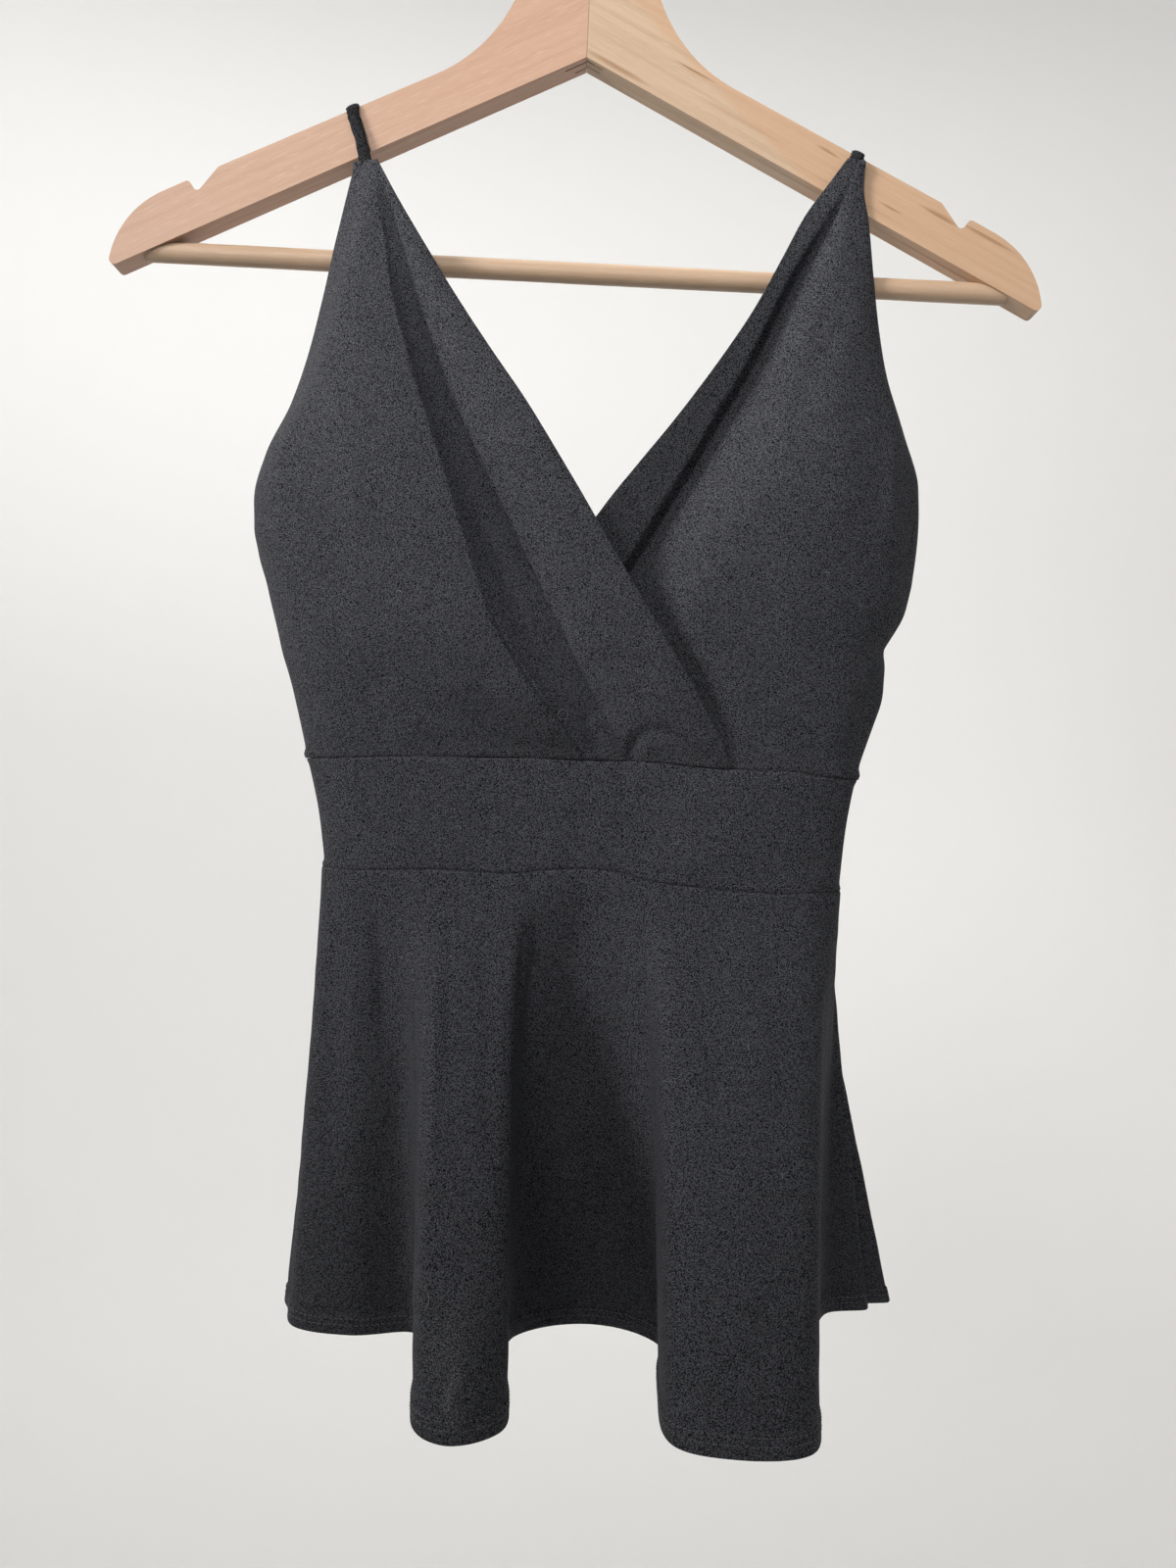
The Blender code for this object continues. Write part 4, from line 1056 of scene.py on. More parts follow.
def strap_rings(path):
    """A flattened ring of points round each point of the route."""
    top = path[:, 2].max()
    fall = -math.copysign(math.atan(ARM_SLOPE), path[-1, 0])
    turn = fall * ease(1 - (top - path[:, 2]) / STRAP_TWIST)
    across = np.stack([np.cos(turn), np.zeros(len(path)), np.sin(turn)], axis=1)
    run = np.gradient(path, axis=0)
    run /= np.linalg.norm(run, axis=1, keepdims=True)
    face = np.cross(run, across)
    face /= np.linalg.norm(face, axis=1, keepdims=True)
    angles = np.linspace(0, 2 * math.pi, STRAP_RING, endpoint=False)
    wide = STRAP_WIDTH / 2 * np.sign(np.cos(angles)) * np.abs(np.cos(angles)) ** 0.8
    deep = STRAP_THICK / 2 * np.sin(angles)
    uneven = 1 + 0.05 * np.sin(np.arange(len(path)) * 0.9) + 0.04 * np.sin(np.arange(len(path)) * 0.37)
    return (path[:, None] + across[:, None] * (wide[None, :, None] * uneven[:, None, None])
            + face[:, None] * deep[None, :, None])


def strap(name, route):
    end_x = route[-1][0]
    end = (end_x, back_y(end_x, BACK_SIDE_TOP), back_top(end_x) + 0.9)
    path = spline(list(route[:-1]) + [end], 10)
    shape = bmesh.new()
    layer = shape.loops.layers.uv.new("UVMap")
    verts = [[shape.verts.new(point * MM) for point in ring] for ring in strap_rings(path)]
    length = np.concatenate([[0], np.cumsum(np.linalg.norm(np.diff(path, axis=0), axis=1))]) * MM
    round_ring = np.linspace(0, 2 * (STRAP_WIDTH + STRAP_THICK) * MM * 0.9, STRAP_RING + 1)
    for i in range(len(verts) - 1):
        for j in range(STRAP_RING):
            k = (j + 1) % STRAP_RING
            face_made = shape.faces.new([verts[i][j], verts[i][k], verts[i + 1][k], verts[i + 1][j]])
            for loop, (u, v) in zip(face_made.loops, [(j, i), (j + 1, i), (j + 1, i + 1), (j, i + 1)]):
                loop[layer].uv = (round_ring[u], length[v])
    for ring in (verts[0], verts[-1]):
        shape.faces.new(ring)
    bmesh.ops.recalc_face_normals(shape, faces=shape.faces)
    mesh = bpy.data.meshes.new(name)
    shape.to_mesh(mesh)
    shape.free()
    mesh.shade_smooth()
    print(f"{name}: {length[-1] * 1000:.0f} mm long")
    return placed(name, mesh)


strap_right = strap("strap_of_the_right", STRAP_RIGHT)
strap_left = strap("strap_of_the_left", STRAP_LEFT)

# %% [markdown]
# ## Hem stitching
# The hem is turned up and held by two rows of a cover stitch. Stitches painted in the material would
# look flat from the side, so each is a short, round piece of thread. There are hundreds of them, so a
# stitch has only a few faces.

# %% Rows of stitches along lines of points
STITCH_LONG, STITCH_EVERY, THREAD, THREAD_SIDES = 1.5, 2.5, 0.27, 5
THREAD_RINGS = ((-1.0, 0.35), (-0.72, 1.0), (0.72, 1.0), (1.0, 0.35))


def threads(name, verts, faces):
    """One piece from the points and faces of many small threads, with its faces turned outwards."""
    mesh = bpy.data.meshes.new(name)
    mesh.from_pydata([tuple(vert) for vert in verts], [], faces)
    shape = bmesh.new()
    shape.from_mesh(mesh)
    bmesh.ops.recalc_face_normals(shape, faces=shape.faces)
    shape.to_mesh(mesh)
    shape.free()
    mesh.shade_smooth()
    print(f"{name}: {len(mesh.polygons)} faces")
    return placed(name, mesh)


def tube_faces(first, rings, sides):
    """The faces of a closed tube whose rings of points follow each other from the first one on."""
    faces = []
    for ring in range(rings - 1):
        at = first + sides * ring
        for a in range(sides):
            b = (a + 1) % sides
            faces.append((at + a, at + b, at + sides + b, at + sides + a))
    last = first + sides * (rings - 1)
    return faces + [tuple(range(first + sides - 1, first - 1, -1)), tuple(range(last, last + sides))]


def stitch_rows(name, lines):
    """Joins many short threads into one mesh; each line is points and their outward directions."""
    verts, faces = [], []
    for points, outward in lines:
        run = np.concatenate([[0], np.cumsum(np.linalg.norm(np.diff(points, axis=0), axis=1))])
        for at in np.arange(STITCH_EVERY, run[-1] - STITCH_EVERY, STITCH_EVERY):
            ends = [np.array([np.interp(at + s * STITCH_LONG / 2, run, points[:, i]) for i in range(3)])
                    for s in (-1, 0, 1)]
            out = np.array([np.interp(at, run, outward[:, i]) for i in range(3)])
            along = (ends[2] - ends[0]) / 2
            side = np.cross(along / np.linalg.norm(along), out)
            first = len(verts)
            for place, width in THREAD_RINGS:
                for a in range(THREAD_SIDES):
                    angle = 2 * math.pi * a / THREAD_SIDES
                    verts.append((ends[1] + along * place + THREAD * width
                                  * (math.cos(angle) * side + math.sin(angle) * out)) * MM)
            faces += tube_faces(first, len(THREAD_RINGS), THREAD_SIDES)
    return threads(name, verts, faces)


# %% Stitching along the two halves of the hem
STITCH_HEIGHTS = (4.9, 7.8)


def hem_stitching(name, first, last):
    lines = []
    for height in STITCH_HEIGHTS:
        row = peplum_rows([1 - height / LENGTH], first, last)[0][2:-2]
        outward = np.concatenate([out_of(row), np.zeros((len(row), 1))], axis=1)
        lines.append((row + outward * (DOUBLE / 2 - 0.02), outward))
    return stitch_rows(name, lines)


stitches_front = hem_stitching("hem_stitching_front", "right side seam", "left side seam")
stitches_back = hem_stitching("hem_stitching_back", "left side seam", "right side seam")

# %% [markdown]
# ## The hanger's arms
# Each arm is sawn from a board and its edges are rounded. It starts as a circle of points that are moved
# to the arm's outline, corner by corner, filled and extruded to the board's thickness. The edges along
# the outline are bevelled. The rod's socket, the stem's hole and the slots of the finger joint between
# the arms are cut at the end, because a bevel runs badly over holes.

# %% The arm's outline
ARM_THICK, ARM_EDGE_ROUND, JOINT_GAP = 12.5, 1.1, 0.16
ARM = (
    # place, x, z, radius
    ("underside at the joint", JOINT_GAP / 2, -127.9, 0.0),
    ("tip", 223.6, -239.7, 2.5),
    ("end", 218.2, -211.6, 44.0),
    ("notch, outer lip", 186.6, -195.8, 2.0),
    ("notch, bottom", 182.6, -202.0, 2.2),
    ("notch, inner lip", 172.7, -188.8, 1.5),
    ("neck", 40.0, -124.3, 74.0),
    ("shoulder of the neck", 27.6, -75.0, 8.0),
    ("top at the joint", JOINT_GAP / 2, -75.0, 0.0),
)
ARC_STEP = math.radians(3.0)


def unit(vector):
    return vector / np.linalg.norm(vector)


def rounded_outline(corners):
    """A closed outline with each corner rounded to its radius."""
    points = []
    for i, (_, x, z, radius) in enumerate(corners):
        corner = np.array([x, z])
        before = unit(np.array(corners[i - 1][1:3]) - corner)
        after = unit(np.array(corners[(i + 1) % len(corners)][1:3]) - corner)
        turn = math.pi - math.acos(float(np.dot(before, after)))
        if radius == 0:
            points.append(corner)
            continue
        reach = radius * math.tan(turn / 2)
        centre = corner + unit(before + after) * radius / math.cos(turn / 2)
        start, stop = corner + before * reach - centre, corner + after * reach - centre
        for share in np.linspace(0.0, 1.0, max(3, round(turn / ARC_STEP)) + 1):
            spoke = (math.sin((1 - share) * turn) * start + math.sin(share * turn) * stop)
            points.append(centre + spoke / math.sin(turn))
    return points


# %% Cutters for the rod's socket, the stem's hole and the slots of the finger joint
ROD_RADIUS, ROD_HEIGHT, ROD_END, FIT = 4.9, -228.4, 207.0, 0.15
WIRE_RADIUS, STEM_END = 2.0, -96.7
FINGER_SLOTS = (
    # side, across the board, long, wide, deep
    (-1, -2.3, 11.0, 0.8, 3.0),
    (-1, 2.6, 6.0, 0.7, 2.5),
    (1, -3.4, 9.0, 0.7, 3.0),
    (1, 0.9, 7.0, 0.6, 2.5),
)


def cutter_cylinder(radius, depth, place, turn, sides):
    bpy.ops.object.select_all(action="DESELECT")
    bpy.ops.mesh.primitive_cylinder_add(vertices=sides, radius=radius * MM, depth=depth * MM,
                                        location=[value * MM for value in place], rotation=turn)
    return bpy.context.active_object


def finger_slot(side, across, long, wide, deep):
    """A thin box that lies along the arm's underside, from the joint outwards."""
    slope = math.atan(0.5)
    middle = (side * (long / 2) * math.cos(slope), across, -127.9 - long / 2 * math.sin(slope))
    bpy.ops.object.select_all(action="DESELECT")
    bpy.ops.mesh.primitive_cube_add(size=1.0, location=[value * MM for value in middle],
                                    rotation=(0, side * slope, 0), scale=(long * MM, wide * MM, deep * MM))
    return bpy.context.active_object


def cut_away(piece, cutter):
    modifier = piece.modifiers.new("cut", "BOOLEAN")
    modifier.operation, modifier.solver, modifier.object = "DIFFERENCE", "EXACT", cutter
    bpy.context.view_layer.objects.active = piece
    bpy.ops.object.modifier_apply(modifier="cut")
    bpy.data.objects.remove(cutter, do_unlink=True)


# %% The two arms
def hanger_arm(name, side):
    outline = [(side * x, z) for x, z in rounded_outline(ARM)]
    bpy.ops.object.select_all(action="DESELECT")
    bpy.ops.mesh.primitive_circle_add(vertices=len(outline), radius=0.1, fill_type="NOTHING")
    arm = bpy.context.active_object
    arm.name = arm.data.name = name
    for vert, (x, z) in zip(arm.data.vertices, outline):
        vert.co = (x * MM, -ARM_THICK / 2 * MM, z * MM)
    bpy.ops.object.mode_set(mode="EDIT")
    bpy.ops.mesh.select_all(action="SELECT")
    bpy.ops.mesh.edge_face_add()
    bpy.ops.mesh.extrude_region_move(TRANSFORM_OT_translate={"value": (0, ARM_THICK * MM, 0)})
    bpy.ops.mesh.select_all(action="SELECT")
    bpy.ops.mesh.normals_make_consistent(inside=False)
    bpy.ops.mesh.select_all(action="DESELECT")
    shape = bmesh.from_edit_mesh(arm.data)
    for edge in shape.edges:
        level = abs(edge.verts[0].co.y - edge.verts[1].co.y) < 1e-6
        edge.select = level and max(abs(vert.co.x) for vert in edge.verts) > (JOINT_GAP / 2 + 0.01) * MM
    bmesh.update_edit_mesh(arm.data)
    bpy.ops.mesh.bevel(offset=ARM_EDGE_ROUND * MM, segments=4, profile=0.5, affect="EDGES",
                       clamp_overlap=False)
    bpy.ops.object.mode_set(mode="OBJECT")
    cut_away(arm, cutter_cylinder(ROD_RADIUS + FIT, 2 * (ROD_END + FIT), (0, 0, ROD_HEIGHT),
                                  (0, math.pi / 2, 0), 64))
    cut_away(arm, cutter_cylinder(WIRE_RADIUS + FIT, 40.0, (0, 0, STEM_END - FIT + 20.0), (0, 0, 0), 32))
    for row in FINGER_SLOTS:
        if row[0] == side:
            cut_away(arm, finger_slot(*row))
    bpy.ops.object.select_all(action="DESELECT")
    arm.select_set(True)
    bpy.context.view_layer.objects.active = arm
    bpy.ops.object.shade_smooth_by_angle(angle=math.radians(28))
    print(f"{name}: {len(arm.data.polygons)} faces")
    return arm


arm_right = hanger_arm("wooden_arm_right", -1)
arm_left = hanger_arm("wooden_arm_left", 1)

# %% [markdown]
# ## The rod
# A turned dowel between the two arms. It is cut into rings that are pushed in and out by a few
# hundredths of a millimetre, as a sanded dowel is.


# %% The rod
def dowel():
    bpy.ops.object.select_all(action="DESELECT")
    bpy.ops.mesh.primitive_cylinder_add(vertices=48, radius=ROD_RADIUS * MM, depth=2 * ROD_END * MM,
                                        location=(0, 0, 0))
    rod = bpy.context.active_object
    rod.name = rod.data.name = "wooden_rod"
    bpy.ops.object.mode_set(mode="EDIT")
    for at in np.linspace(-ROD_END, ROD_END, 62)[1:-1]:
        bpy.ops.mesh.select_all(action="SELECT")
        bpy.ops.mesh.bisect(plane_co=(0, 0, at * MM), plane_no=(0, 0, 1))
    bpy.ops.mesh.select_all(action="SELECT")
    bpy.ops.transform.rotate(value=math.pi / 2, orient_axis="Y", center_override=(0, 0, 0))
    bpy.ops.object.mode_set(mode="OBJECT")
    for vert in rod.data.vertices:
        x = vert.co.x / MM
        swell = 1 + 0.006 * math.sin(x / 23.0) + 0.004 * math.sin(x / 9.0 + 1.0)
        vert.co = (vert.co.x, vert.co.y * swell, vert.co.z * swell + ROD_HEIGHT * MM)
    bpy.ops.object.shade_smooth_by_angle(angle=math.radians(40))
    print(f"wooden_rod: {len(rod.data.polygons)} faces")
    return rod


rod = dowel()

# %% [markdown]
# ## The hook
# The hook is bent from plated wire. A path goes up the stem, leans to one side and runs round the circle
# that hangs on a rail. Wire has the same thickness all along, so a curve with a round bevel is the
# simplest way to make it. It thins at the tip, and is made a mesh at the end.

# %% The hook
HOOK_INSIDE, HOOK_ENTRY, HOOK_TIP, STEM_TOP = 19.0, -50.0, 205.0, -58.0


def wire_hook():
    centre, radius = -HOOK_INSIDE, HOOK_INSIDE + WIRE_RADIUS
    angles = np.radians(np.arange(HOOK_ENTRY, HOOK_TIP + 1, 3.0))
    circle = [np.array([radius * math.cos(a), 0.0, centre + radius * math.sin(a)]) for a in angles]
    heading = np.array([-math.sin(angles[0]), 0.0, math.cos(angles[0])])
    p0, p3 = np.array([0.0, 0.0, STEM_TOP]), circle[0]
    p1, p2 = p0 + np.array([0.0, 0.0, 11.0]), p3 - heading * 9.0
    lean = [(1 - t) ** 3 * p0 + 3 * t * (1 - t) ** 2 * p1 + 3 * t * t * (1 - t) * p2 + t ** 3 * p3
            for t in np.linspace(0, 1, 21)[:-1]]
    stem = [np.array([0.0, 0.0, z]) for z in np.linspace(STEM_END, STEM_TOP, 8)[:-1]]
    path = stem + lean + circle
    curve = bpy.data.curves.new("wire_hook", "CURVE")
    curve.dimensions, curve.bevel_depth, curve.bevel_resolution = "3D", WIRE_RADIUS * MM, 5
    curve.use_fill_caps = True
    line = curve.splines.new("POLY")
    line.points.add(len(path) - 1)
    for i, (point, place) in enumerate(zip(line.points, path)):
        point.co = (*(value * MM for value in place), 1.0)
        left = len(path) - 1 - i
        point.radius = math.sqrt(max(0.12, 1 - (1 - min(left / 2.0, 1.0)) ** 2))
    hook = placed("wire_hook", curve)
    bpy.ops.object.select_all(action="DESELECT")
    hook.select_set(True)
    bpy.context.view_layer.objects.active = hook
    bpy.ops.object.convert(target="MESH")
    hook = bpy.context.active_object
    shape = bmesh.new()
    shape.from_mesh(hook.data)
    bmesh.ops.remove_doubles(shape, verts=shape.verts, dist=1e-6)
    bmesh.ops.recalc_face_normals(shape, faces=shape.faces)
    shape.to_mesh(hook.data)
    shape.free()
    bpy.ops.object.shade_smooth_by_angle(angle=math.radians(50))
    print(f"wire_hook: {len(hook.data.polygons)} faces")
    return hook


hook = wire_hook()

# %% [markdown]
# ## Lint
# Black crepe picks up pale fibres, and a few lie on the front. Each is a very thin bent thread. A ray
# is sent back from in front of the cloth at each of its steps, so that it follows the folds it lies on.

# %% Lint on the cloth
FIBRES = (
    # x, z, length, turn, bend
    (5.4, -445.0, 13.4, 0.0, 6.1), (-86.0, -330.0, 4.0, 1.2, 1.0), (-70.0, -392.0, 3.0, 2.0, 1.6),
    (98.0, -330.0, 3.5, 0.6, 1.4), (124.0, -372.0, 3.0, 2.4, 1.2), (60.0, -500.0, 4.0, 0.2, 1.5),
    (-40.0, -498.0, 3.0, 1.4, 2.0), (-36.6, -692.0, 9.0, 1.2, 1.3), (96.0, -590.0, 3.5, 0.9, 1.8),
    (-64.0, -560.0, 3.0, 2.2, 1.4), (110.0, -640.0, 3.0, 0.4, 2.2), (30.0, -395.0, 3.2, 2.8, 1.3),
    (-96.0, -420.0, 2.8, 0.1, 2.0), (140.0, -300.0, 3.4, 1.7, 1.2), (52.0, -605.0, 3.0, 2.6, 1.6),
    (20.0, -482.0, 2.6, 1.0, 2.4), (-12.0, -640.0, 3.6, 2.0, 1.1), (84.0, -548.0, 2.6, 1.3, 2.0),
    (-60.0, -268.0, 2.8, 0.8, 1.7), (116.0, -262.0, 2.6, 2.3, 1.4),
)
FIBRE_THICK, FIBRE_SIDES = 0.11, 3
IN_FRONT, RAY_REACH = -0.4, 0.8


def lint():
    verts, faces = [], []
    bpy.context.view_layer.update()
    seen = bpy.context.evaluated_depsgraph_get()
    for x, z, length, turn, bend in FIBRES:
        steps, spine = max(9, round(1.4 * length)), []
        place, angle = np.array([x, z]), turn
        for i in range(steps):
            hit, spot, normal, *_ = bpy.context.scene.ray_cast(
                seen, (place[0] * MM, IN_FRONT, place[1] * MM), (0, 1, 0), distance=RAY_REACH)
            if hit:
                spine.append(np.array(spot) / MM + np.array(normal) * (0.15 + 0.25 * (i % 3 == 1)))
            angle += bend / steps
            place = place + np.array([math.cos(angle), math.sin(angle)]) * length / steps
        if len(spine) < 4:
            continue
        first = len(verts)
        for i, point in enumerate(spine):
            run = unit(spine[min(i + 1, len(spine) - 1)] - spine[max(i - 1, 0)])
            side = unit(np.cross(run, (0.0, -1.0, 0.0)))
            up = np.cross(side, run)
            for a in range(FIBRE_SIDES):
                spoke = 2 * math.pi * a / FIBRE_SIDES
                verts.append((point + FIBRE_THICK * (math.cos(spoke) * side + math.sin(spoke) * up)) * MM)
        faces += tube_faces(first, len(spine), FIBRE_SIDES)
    return threads("lint", verts, faces)


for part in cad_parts.values():
    part.hide_viewport = True
fibres = lint()
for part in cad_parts.values():
    part.hide_viewport = False

# %% [markdown]
# ## Black crepe
# Crepe has a pebbled face: tightly twisted yarns make small, irregular grains, about half a millimetre
# across. Noise at that size, in the cloth's own UV map, moves the surface in and out and makes the black
# lighter and darker. Fine fuzz catches light at a glancing angle, which the sheen gives. The UV map is
# used rather than the place in space, because the grain then follows the cloth through its folds.


# %% Three helpers for finishes
def span(node, value, low, high, to_low, to_high):
    """Maps a value that runs from low to high onto another range."""
    limits = {"From Min": low, "From Max": high, "To Min": to_low, "To Max": to_high}
    return node("ShaderNodeMapRange", limits, Value=value).outputs["Result"]


def shades(node, value, dark, light, low=0.0, high=1.0):
    """A dark colour that turns into a light one as the value goes from low to high."""
    ramp = node("ShaderNodeValToRGB", in0=value)
    for stop, position, colour in zip(ramp.color_ramp.elements, (low, high), (dark, light)):
        stop.position, stop.color = position, (*colour, 1)
    return ramp.outputs["Color"]


def raised(node, link, height, strength, distance):
    """Lets a height, given in metres, move the surface in and out."""
    relief = node("ShaderNodeBump", {"Strength": strength, "Distance": distance}, Height=height)
    link(relief.outputs["Normal"], "Normal")


# %% The crepe
CREPE_DARK, CREPE_LIGHT = (0.003, 0.0030, 0.0040), (0.186, 0.1910, 0.2180)
CHALK_DUST, FUZZ = (0.30, 0.30, 0.29, 1), (0.86, 0.88, 0.95, 1)
PER_MM = (1000.0, 1000.0, 1.0)


def mixed_in(material, node, amount, under, over):
    """Lays one colour over another where the amount is high."""
    mix = node("ShaderNodeMix", {"data_type": "RGBA"}, Factor=amount)
    mix.inputs[7].default_value = over
    material.node_tree.links.new(under, mix.inputs[6])
    return mix.outputs[2]


def crepe(name, chalk=False, shade=1.0):
    material, shader, node, link = new_material(name)
    cloth = node("ShaderNodeUVMap")
    cloth.uv_map = "UVMap"
    place = node("ShaderNodeMapping", {"Scale": PER_MM}, Vector=cloth.outputs["UV"])
    grains = node("ShaderNodeTexNoise", {"Scale": 1.6, "Detail": 3.0, "Roughness": 0.7},
                  Vector=place.outputs[0])
    pebbles = node("ShaderNodeTexVoronoi", {"Scale": 2.3, "Randomness": 1.0}, Vector=place.outputs[0])
    patches = node("ShaderNodeTexNoise", {"Scale": 0.06, "Detail": 3.0}, Vector=place.outputs[0])
    height = node("ShaderNodeMath", {"operation": "MULTIPLY_ADD", 1: -0.7},
                  in0=pebbles.outputs["Distance"], in2=grains.outputs["Fac"])
    black = shades(node, height.outputs[0], CREPE_DARK, CREPE_LIGHT, 0.0, 0.62)
    # The shade factor darkens the whole colour; below 1 it is painted shade, as on the straps' copy.
    tone = span(node, patches.outputs["Fac"], 0.3, 0.7, 0.94 * shade, 1.06 * shade)
    colour = node("ShaderNodeVectorMath", {"operation": "SCALE"}, in0=black, Scale=tone).outputs[0]
    if chalk:
        mark = node("ShaderNodeAttribute")
        mark.attribute_name = "chalk"
        dust = node("ShaderNodeTexNoise", {"Scale": 1.6, "Detail": 4.0, "Roughness": 0.7},
                    Vector=place.outputs[0])
        amount = node("ShaderNodeMath", {"operation": "MULTIPLY", "use_clamp": True},
                      in0=mark.outputs["Fac"], in1=span(node, dust.outputs["Fac"], 0.47, 0.68, 0.0, 0.75))
        colour = mixed_in(material, node, amount.outputs[0], colour, CHALK_DUST)
    link(colour, "Base Color")
    link(span(node, grains.outputs["Fac"], 0.2, 0.8, 0.78, 0.94), "Roughness")
    raised(node, link, height.outputs[0], 0.8, 0.0002)
    shader.inputs["Specular IOR Level"].default_value = 0.14
    shader.inputs["Sheen Weight"].default_value = 0.03
    shader.inputs["Sheen Roughness"].default_value = 0.42
    shader.inputs["Sheen Tint"].default_value = FUZZ
    print(f"{name}: {len(material.node_tree.nodes)} nodes")
    return material


BLACK_CREPE = crepe("black_crepe")
MARKED_CREPE = crepe("black_crepe_with_a_chalky_mark", chalk=True)
# The straps are the same crepe, made darker by a factor of 0.4: painted shade.
STRAP_CREPE_PAINTED_SHADE = crepe("black_crepe_of_the_straps", shade=0.4)

# %% [markdown]
# ## Thread and lint
# Sewing thread is smoother than the crepe, so it shines a little, and lint is dull. Both are too thin for
# a pattern of their own to be seen, so one noise, as fine as the fibres in the thread, serves for both.


# %% The thread and the lint's finish
def thread_material(name, dark, light, roughness):
    material, shader, node, link = new_material(name)
    place = node("ShaderNodeTexCoord")
    twist = node("ShaderNodeTexNoise", {"Scale": 2600.0, "Detail": 2.0}, Vector=place.outputs["Object"])
    link(shades(node, twist.outputs["Fac"], dark, light, 0.35, 0.7), "Base Color")
    raised(node, link, twist.outputs["Fac"], 0.4, 0.00005)
    shader.inputs["Roughness"].default_value = roughness
    print(f"{name}: {len(material.node_tree.nodes)} nodes")
    return material


THREAD_BLACK = thread_material("black_thread", (0.035, 0.035, 0.039), (0.14, 0.14, 0.152), 0.5)
LINT_PALE = thread_material("pale_lint", (0.12, 0.12, 0.12), (0.32, 0.315, 0.30), 0.8)

# %% [markdown]
# ## Wood
# Grain runs along each arm. Stretched noise gives the fine bands, and a finer one gives the short pale
# pores. The two arms came from different boards: one is rosy and even, the other is paler, with a few
# brown streaks, which are listed one by one, and orange heartwood at the top of its neck. The pattern is
# solid, in the piece's own place, so the grain runs through to the board's edges as in real wood.


# %% Grain, heartwood and streaks
GRAIN_FALL = math.radians(26.6)
STREAKS = (
    # along the arm, across it, half length, half width, dark
    (0.0720, -0.1117, 0.0200, 0.0016, 0.75),
    (0.1065, -0.0949, 0.0130, 0.0010, 0.95),
    (0.1800, -0.0966, 0.0080, 0.0008, 0.80),
    (0.2190, -0.1058, 0.0070, 0.0008, 0.85),
    (0.2415, -0.0972, 0.0130, 0.0013, 0.80),
    (0.2660, -0.0952, 0.0180, 0.0015, 0.75),
    (0.1350, -0.1040, 0.0300, 0.0016, 0.30),
    (0.2000, -0.1100, 0.0350, 0.0014, 0.25),
)
STREAK_BROWN = (0.30, 0.155, 0.07, 1)


def grain(node, place, scale, detail, distortion=0.0):
    """Noise that is stretched along the grain; the scale is along it and across it, per metre."""
    along = node("ShaderNodeMapping", {"Scale": (scale[0], scale[1], scale[1])}, Vector=place)
    return node("ShaderNodeTexNoise", {"Scale": 1.0, "Detail": detail, "Roughness": 0.55,
                                       "Distortion": distortion}, Vector=along.outputs[0]).outputs["Fac"]


def heartwood(node, turned, bands):
    """Nearly 1 in a zone at the top of the arm's neck, with an edge that wanders with the grain."""
    axes = node("ShaderNodeSeparateXYZ", Vector=turned)
    edge = node("ShaderNodeMath", {"operation": "MULTIPLY_ADD", 1: 0.30}, in0=axes.outputs["X"],
                in2=axes.outputs["Z"])
    wander = node("ShaderNodeMath", {"operation": "MULTIPLY_ADD", 1: 0.010}, in0=bands, in2=edge.outputs[0])
    return span(node, wander.outputs[0], -0.058, -0.054, 0.0, 0.5)


def streak(node, shifted, along, across, half_length, half_width, strength):
    """A narrow spot along the grain that fades out all round."""
    spot = node("ShaderNodeMapping", {"vector_type": "TEXTURE", "Location": (along, 0, across),
                                      "Scale": (half_length, 1000.0, half_width)}, Vector=shifted)
    ball = node("ShaderNodeTexGradient", {"gradient_type": "SPHERICAL"}, Vector=spot.outputs[0])
    return span(node, ball.outputs["Fac"], 0.0, 0.6, 0.0, strength)


# %% The three woods
def wood(name, fall, pale, dark, pore, seed, streaks=(), heart=None):
    """Wood whose grain runs at an angle below the level, in the object's own place."""
    material, shader, node, link = new_material(name)
    place = node("ShaderNodeTexCoord").outputs["Object"]
    turned = node("ShaderNodeMapping", {"Rotation": (0, -fall, 0), "Location": (0, seed, 0)},
                  Vector=place).outputs[0]
    bands = grain(node, turned, (7.0, 330.0), 4.0, 0.5)
    pores = grain(node, turned, (110.0, 2600.0), 2.0)
    body = shades(node, bands, dark, pale, 0.30, 0.70)
    out = mixed_in(material, node, span(node, pores, 0.58, 0.72, 0.0, 0.55), body, (*pore, 1))
    if heart:
        out = mixed_in(material, node, heartwood(node, turned, bands), out, (*heart, 1))
    ragged = node("ShaderNodeMath", {"operation": "MULTIPLY_ADD", 1: 0.004, 2: -0.002}, in0=bands)
    shift = node("ShaderNodeCombineXYZ", Z=ragged.outputs[0])
    shifted = node("ShaderNodeVectorMath", {"operation": "ADD"}, in0=turned, in1=shift.outputs[0]).outputs[0]
    for row in streaks:
        out = mixed_in(material, node, streak(node, shifted, *row), out, STREAK_BROWN)
    link(out, "Base Color")
    link(span(node, bands, 0.3, 0.7, 0.56, 0.42), "Roughness")
    raised(node, link, pores, 0.3, 0.0001)
    shader.inputs["Coat Weight"].default_value = 0.08
    shader.inputs["Coat Roughness"].default_value = 0.4
    print(f"{name}: {len(material.node_tree.nodes)} nodes")
    return material


WOOD_ROSY = wood("rosy_wood", fall=-GRAIN_FALL, pale=(0.53, 0.328, 0.226), dark=(0.475, 0.283, 0.190),
                 pore=(0.65, 0.46, 0.35), seed=0.0)
WOOD_PALE = wood("pale_wood", fall=GRAIN_FALL, pale=(0.56, 0.405, 0.280), dark=(0.45, 0.305, 0.197),
                 pore=(0.64, 0.49, 0.36), seed=0.4, streaks=STREAKS, heart=(0.52, 0.30, 0.17))
WOOD_ROD = wood("rod_wood", fall=0.0, pale=(0.57, 0.40, 0.275), dark=(0.48, 0.325, 0.215),
                pore=(0.66, 0.51, 0.39), seed=0.9)

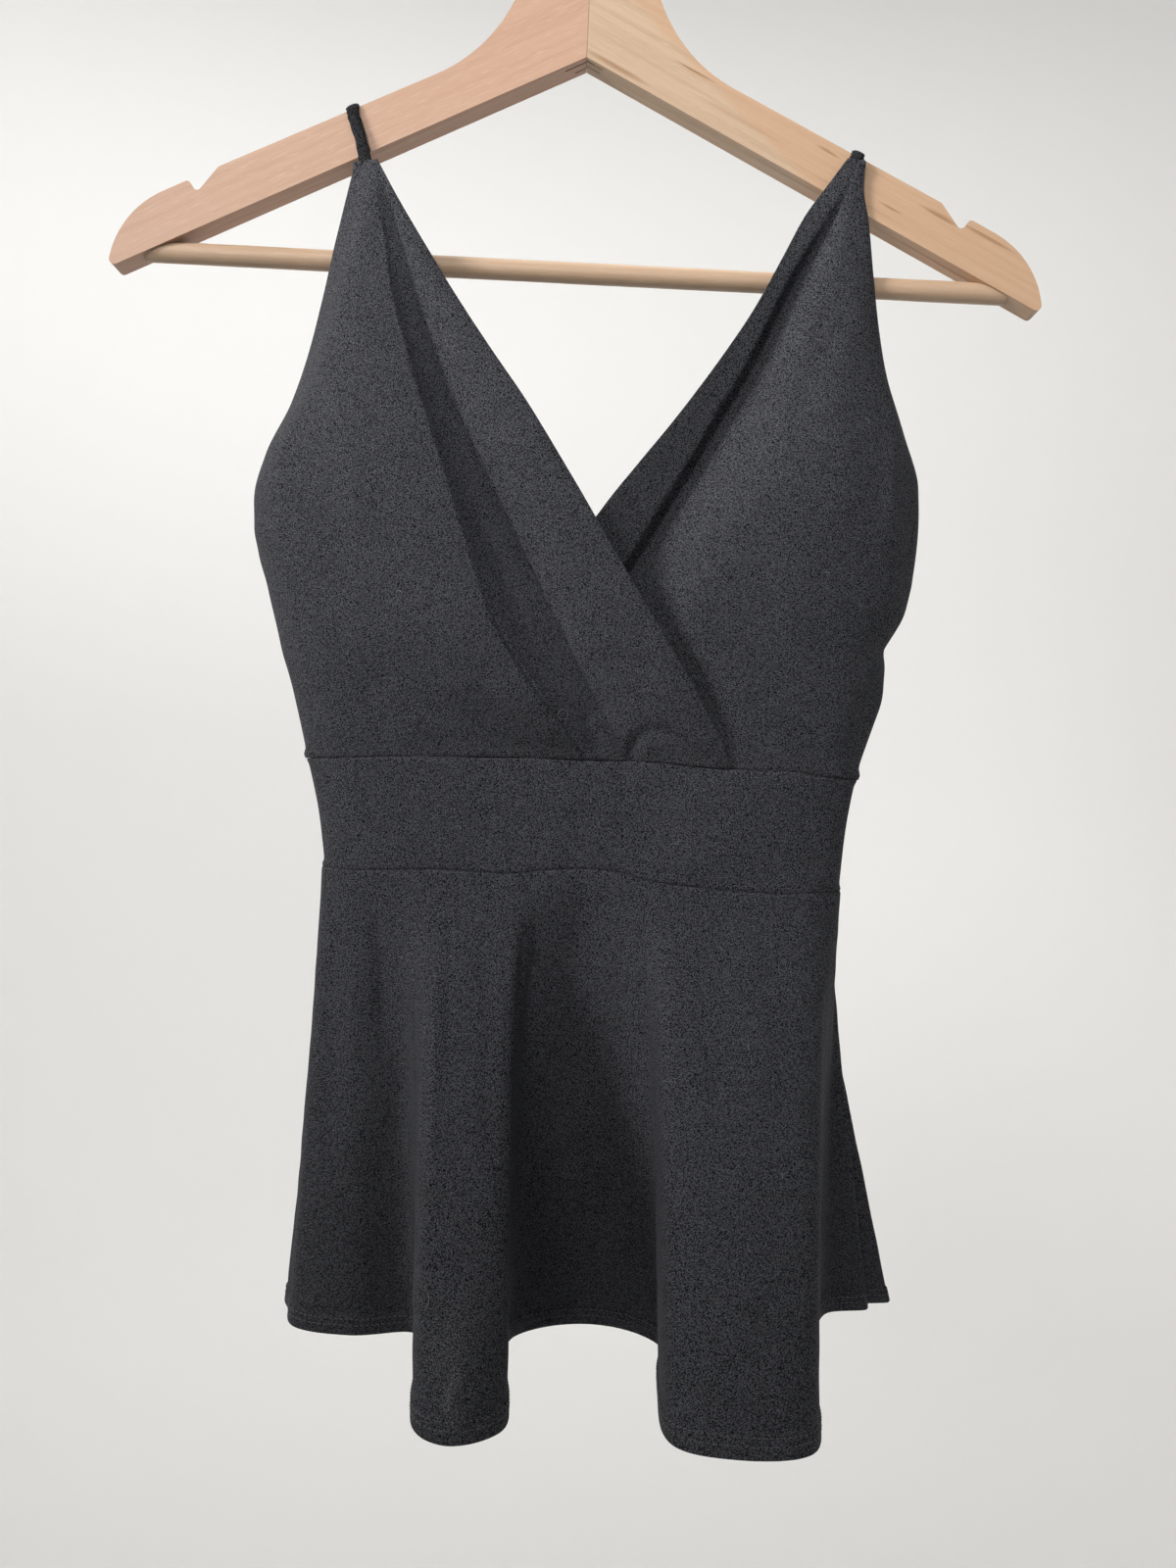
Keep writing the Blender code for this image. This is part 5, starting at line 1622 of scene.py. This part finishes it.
# %% [markdown]
# ## Plated wire
# The hook is bright plated steel. Very fine lines along it, left by drawing the wire, blur the reflection
# a little. A metal shader mirrors the studio, so it needs no more than a tone and a change of gloss.


# %% The wire
def plated_wire():
    material, shader, node, link = new_material("plated_wire")
    place = node("ShaderNodeTexCoord")
    lines = node("ShaderNodeMapping", {"Scale": (900.0, 900.0, 60.0)}, Vector=place.outputs["Object"])
    marks = node("ShaderNodeTexNoise", {"Scale": 1.0, "Detail": 3.0}, Vector=lines.outputs[0])
    link(shades(node, marks.outputs["Fac"], (0.50, 0.50, 0.52), (0.70, 0.70, 0.72)), "Base Color")
    link(span(node, marks.outputs["Fac"], 0.0, 1.0, 0.14, 0.34), "Roughness")
    raised(node, link, marks.outputs["Fac"], 0.15, 0.00003)
    shader.inputs["Metallic"].default_value = 1.0
    print(f"plated_wire: {len(material.node_tree.nodes)} nodes")
    return material


PLATED_WIRE = plated_wire()

# %% [markdown]
# ## Putting it together
# Each piece gets its material and hangs from the root body. Where a piece stands for a part of the
# imported model, that part is hidden.

# %% Pieces and their parts
PIECES = (
    # piece, material, slot, stands for
    (over, BLACK_CREPE, "crepe", "front_right"),
    (under, BLACK_CREPE, "crepe", "front_left"),
    (back, BLACK_CREPE, "crepe", "back"),
    (band_front, BLACK_CREPE, "crepe", "waistband_front"),
    (band_back, BLACK_CREPE, "crepe", "waistband_back"),
    (peplum_front, MARKED_CREPE, "crepe", "peplum_front"),
    (peplum_back, BLACK_CREPE, "crepe", "peplum_back"),
    (strap_right, STRAP_CREPE_PAINTED_SHADE, "crepe", "strap_right"),
    (strap_left, STRAP_CREPE_PAINTED_SHADE, "crepe", "strap_left"),
    (stitches_front, THREAD_BLACK, "crepe", None),
    (stitches_back, THREAD_BLACK, "crepe", None),
    (fibres, LINT_PALE, None, None),
    (arm_right, WOOD_ROSY, "wood_rosy", "hanger_arm_right"),
    (arm_left, WOOD_PALE, "wood_pale", "hanger_arm_left"),
    (rod, WOOD_ROD, "wood_rod", "hanger_rod"),
    (hook, PLATED_WIRE, "steel", "hanger_hook"),
)
for piece, material, slot_name, node_name in PIECES:
    piece.data.materials.clear()
    piece.data.materials.append(material)
    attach(piece, "root")
    if node_name:
        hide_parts(node_name)
print(len(PIECES), "pieces, of which", sum(1 for row in PIECES if row[3]), "stand for a part")

# %% Bring the scene up to date
bpy.context.view_layer.update()
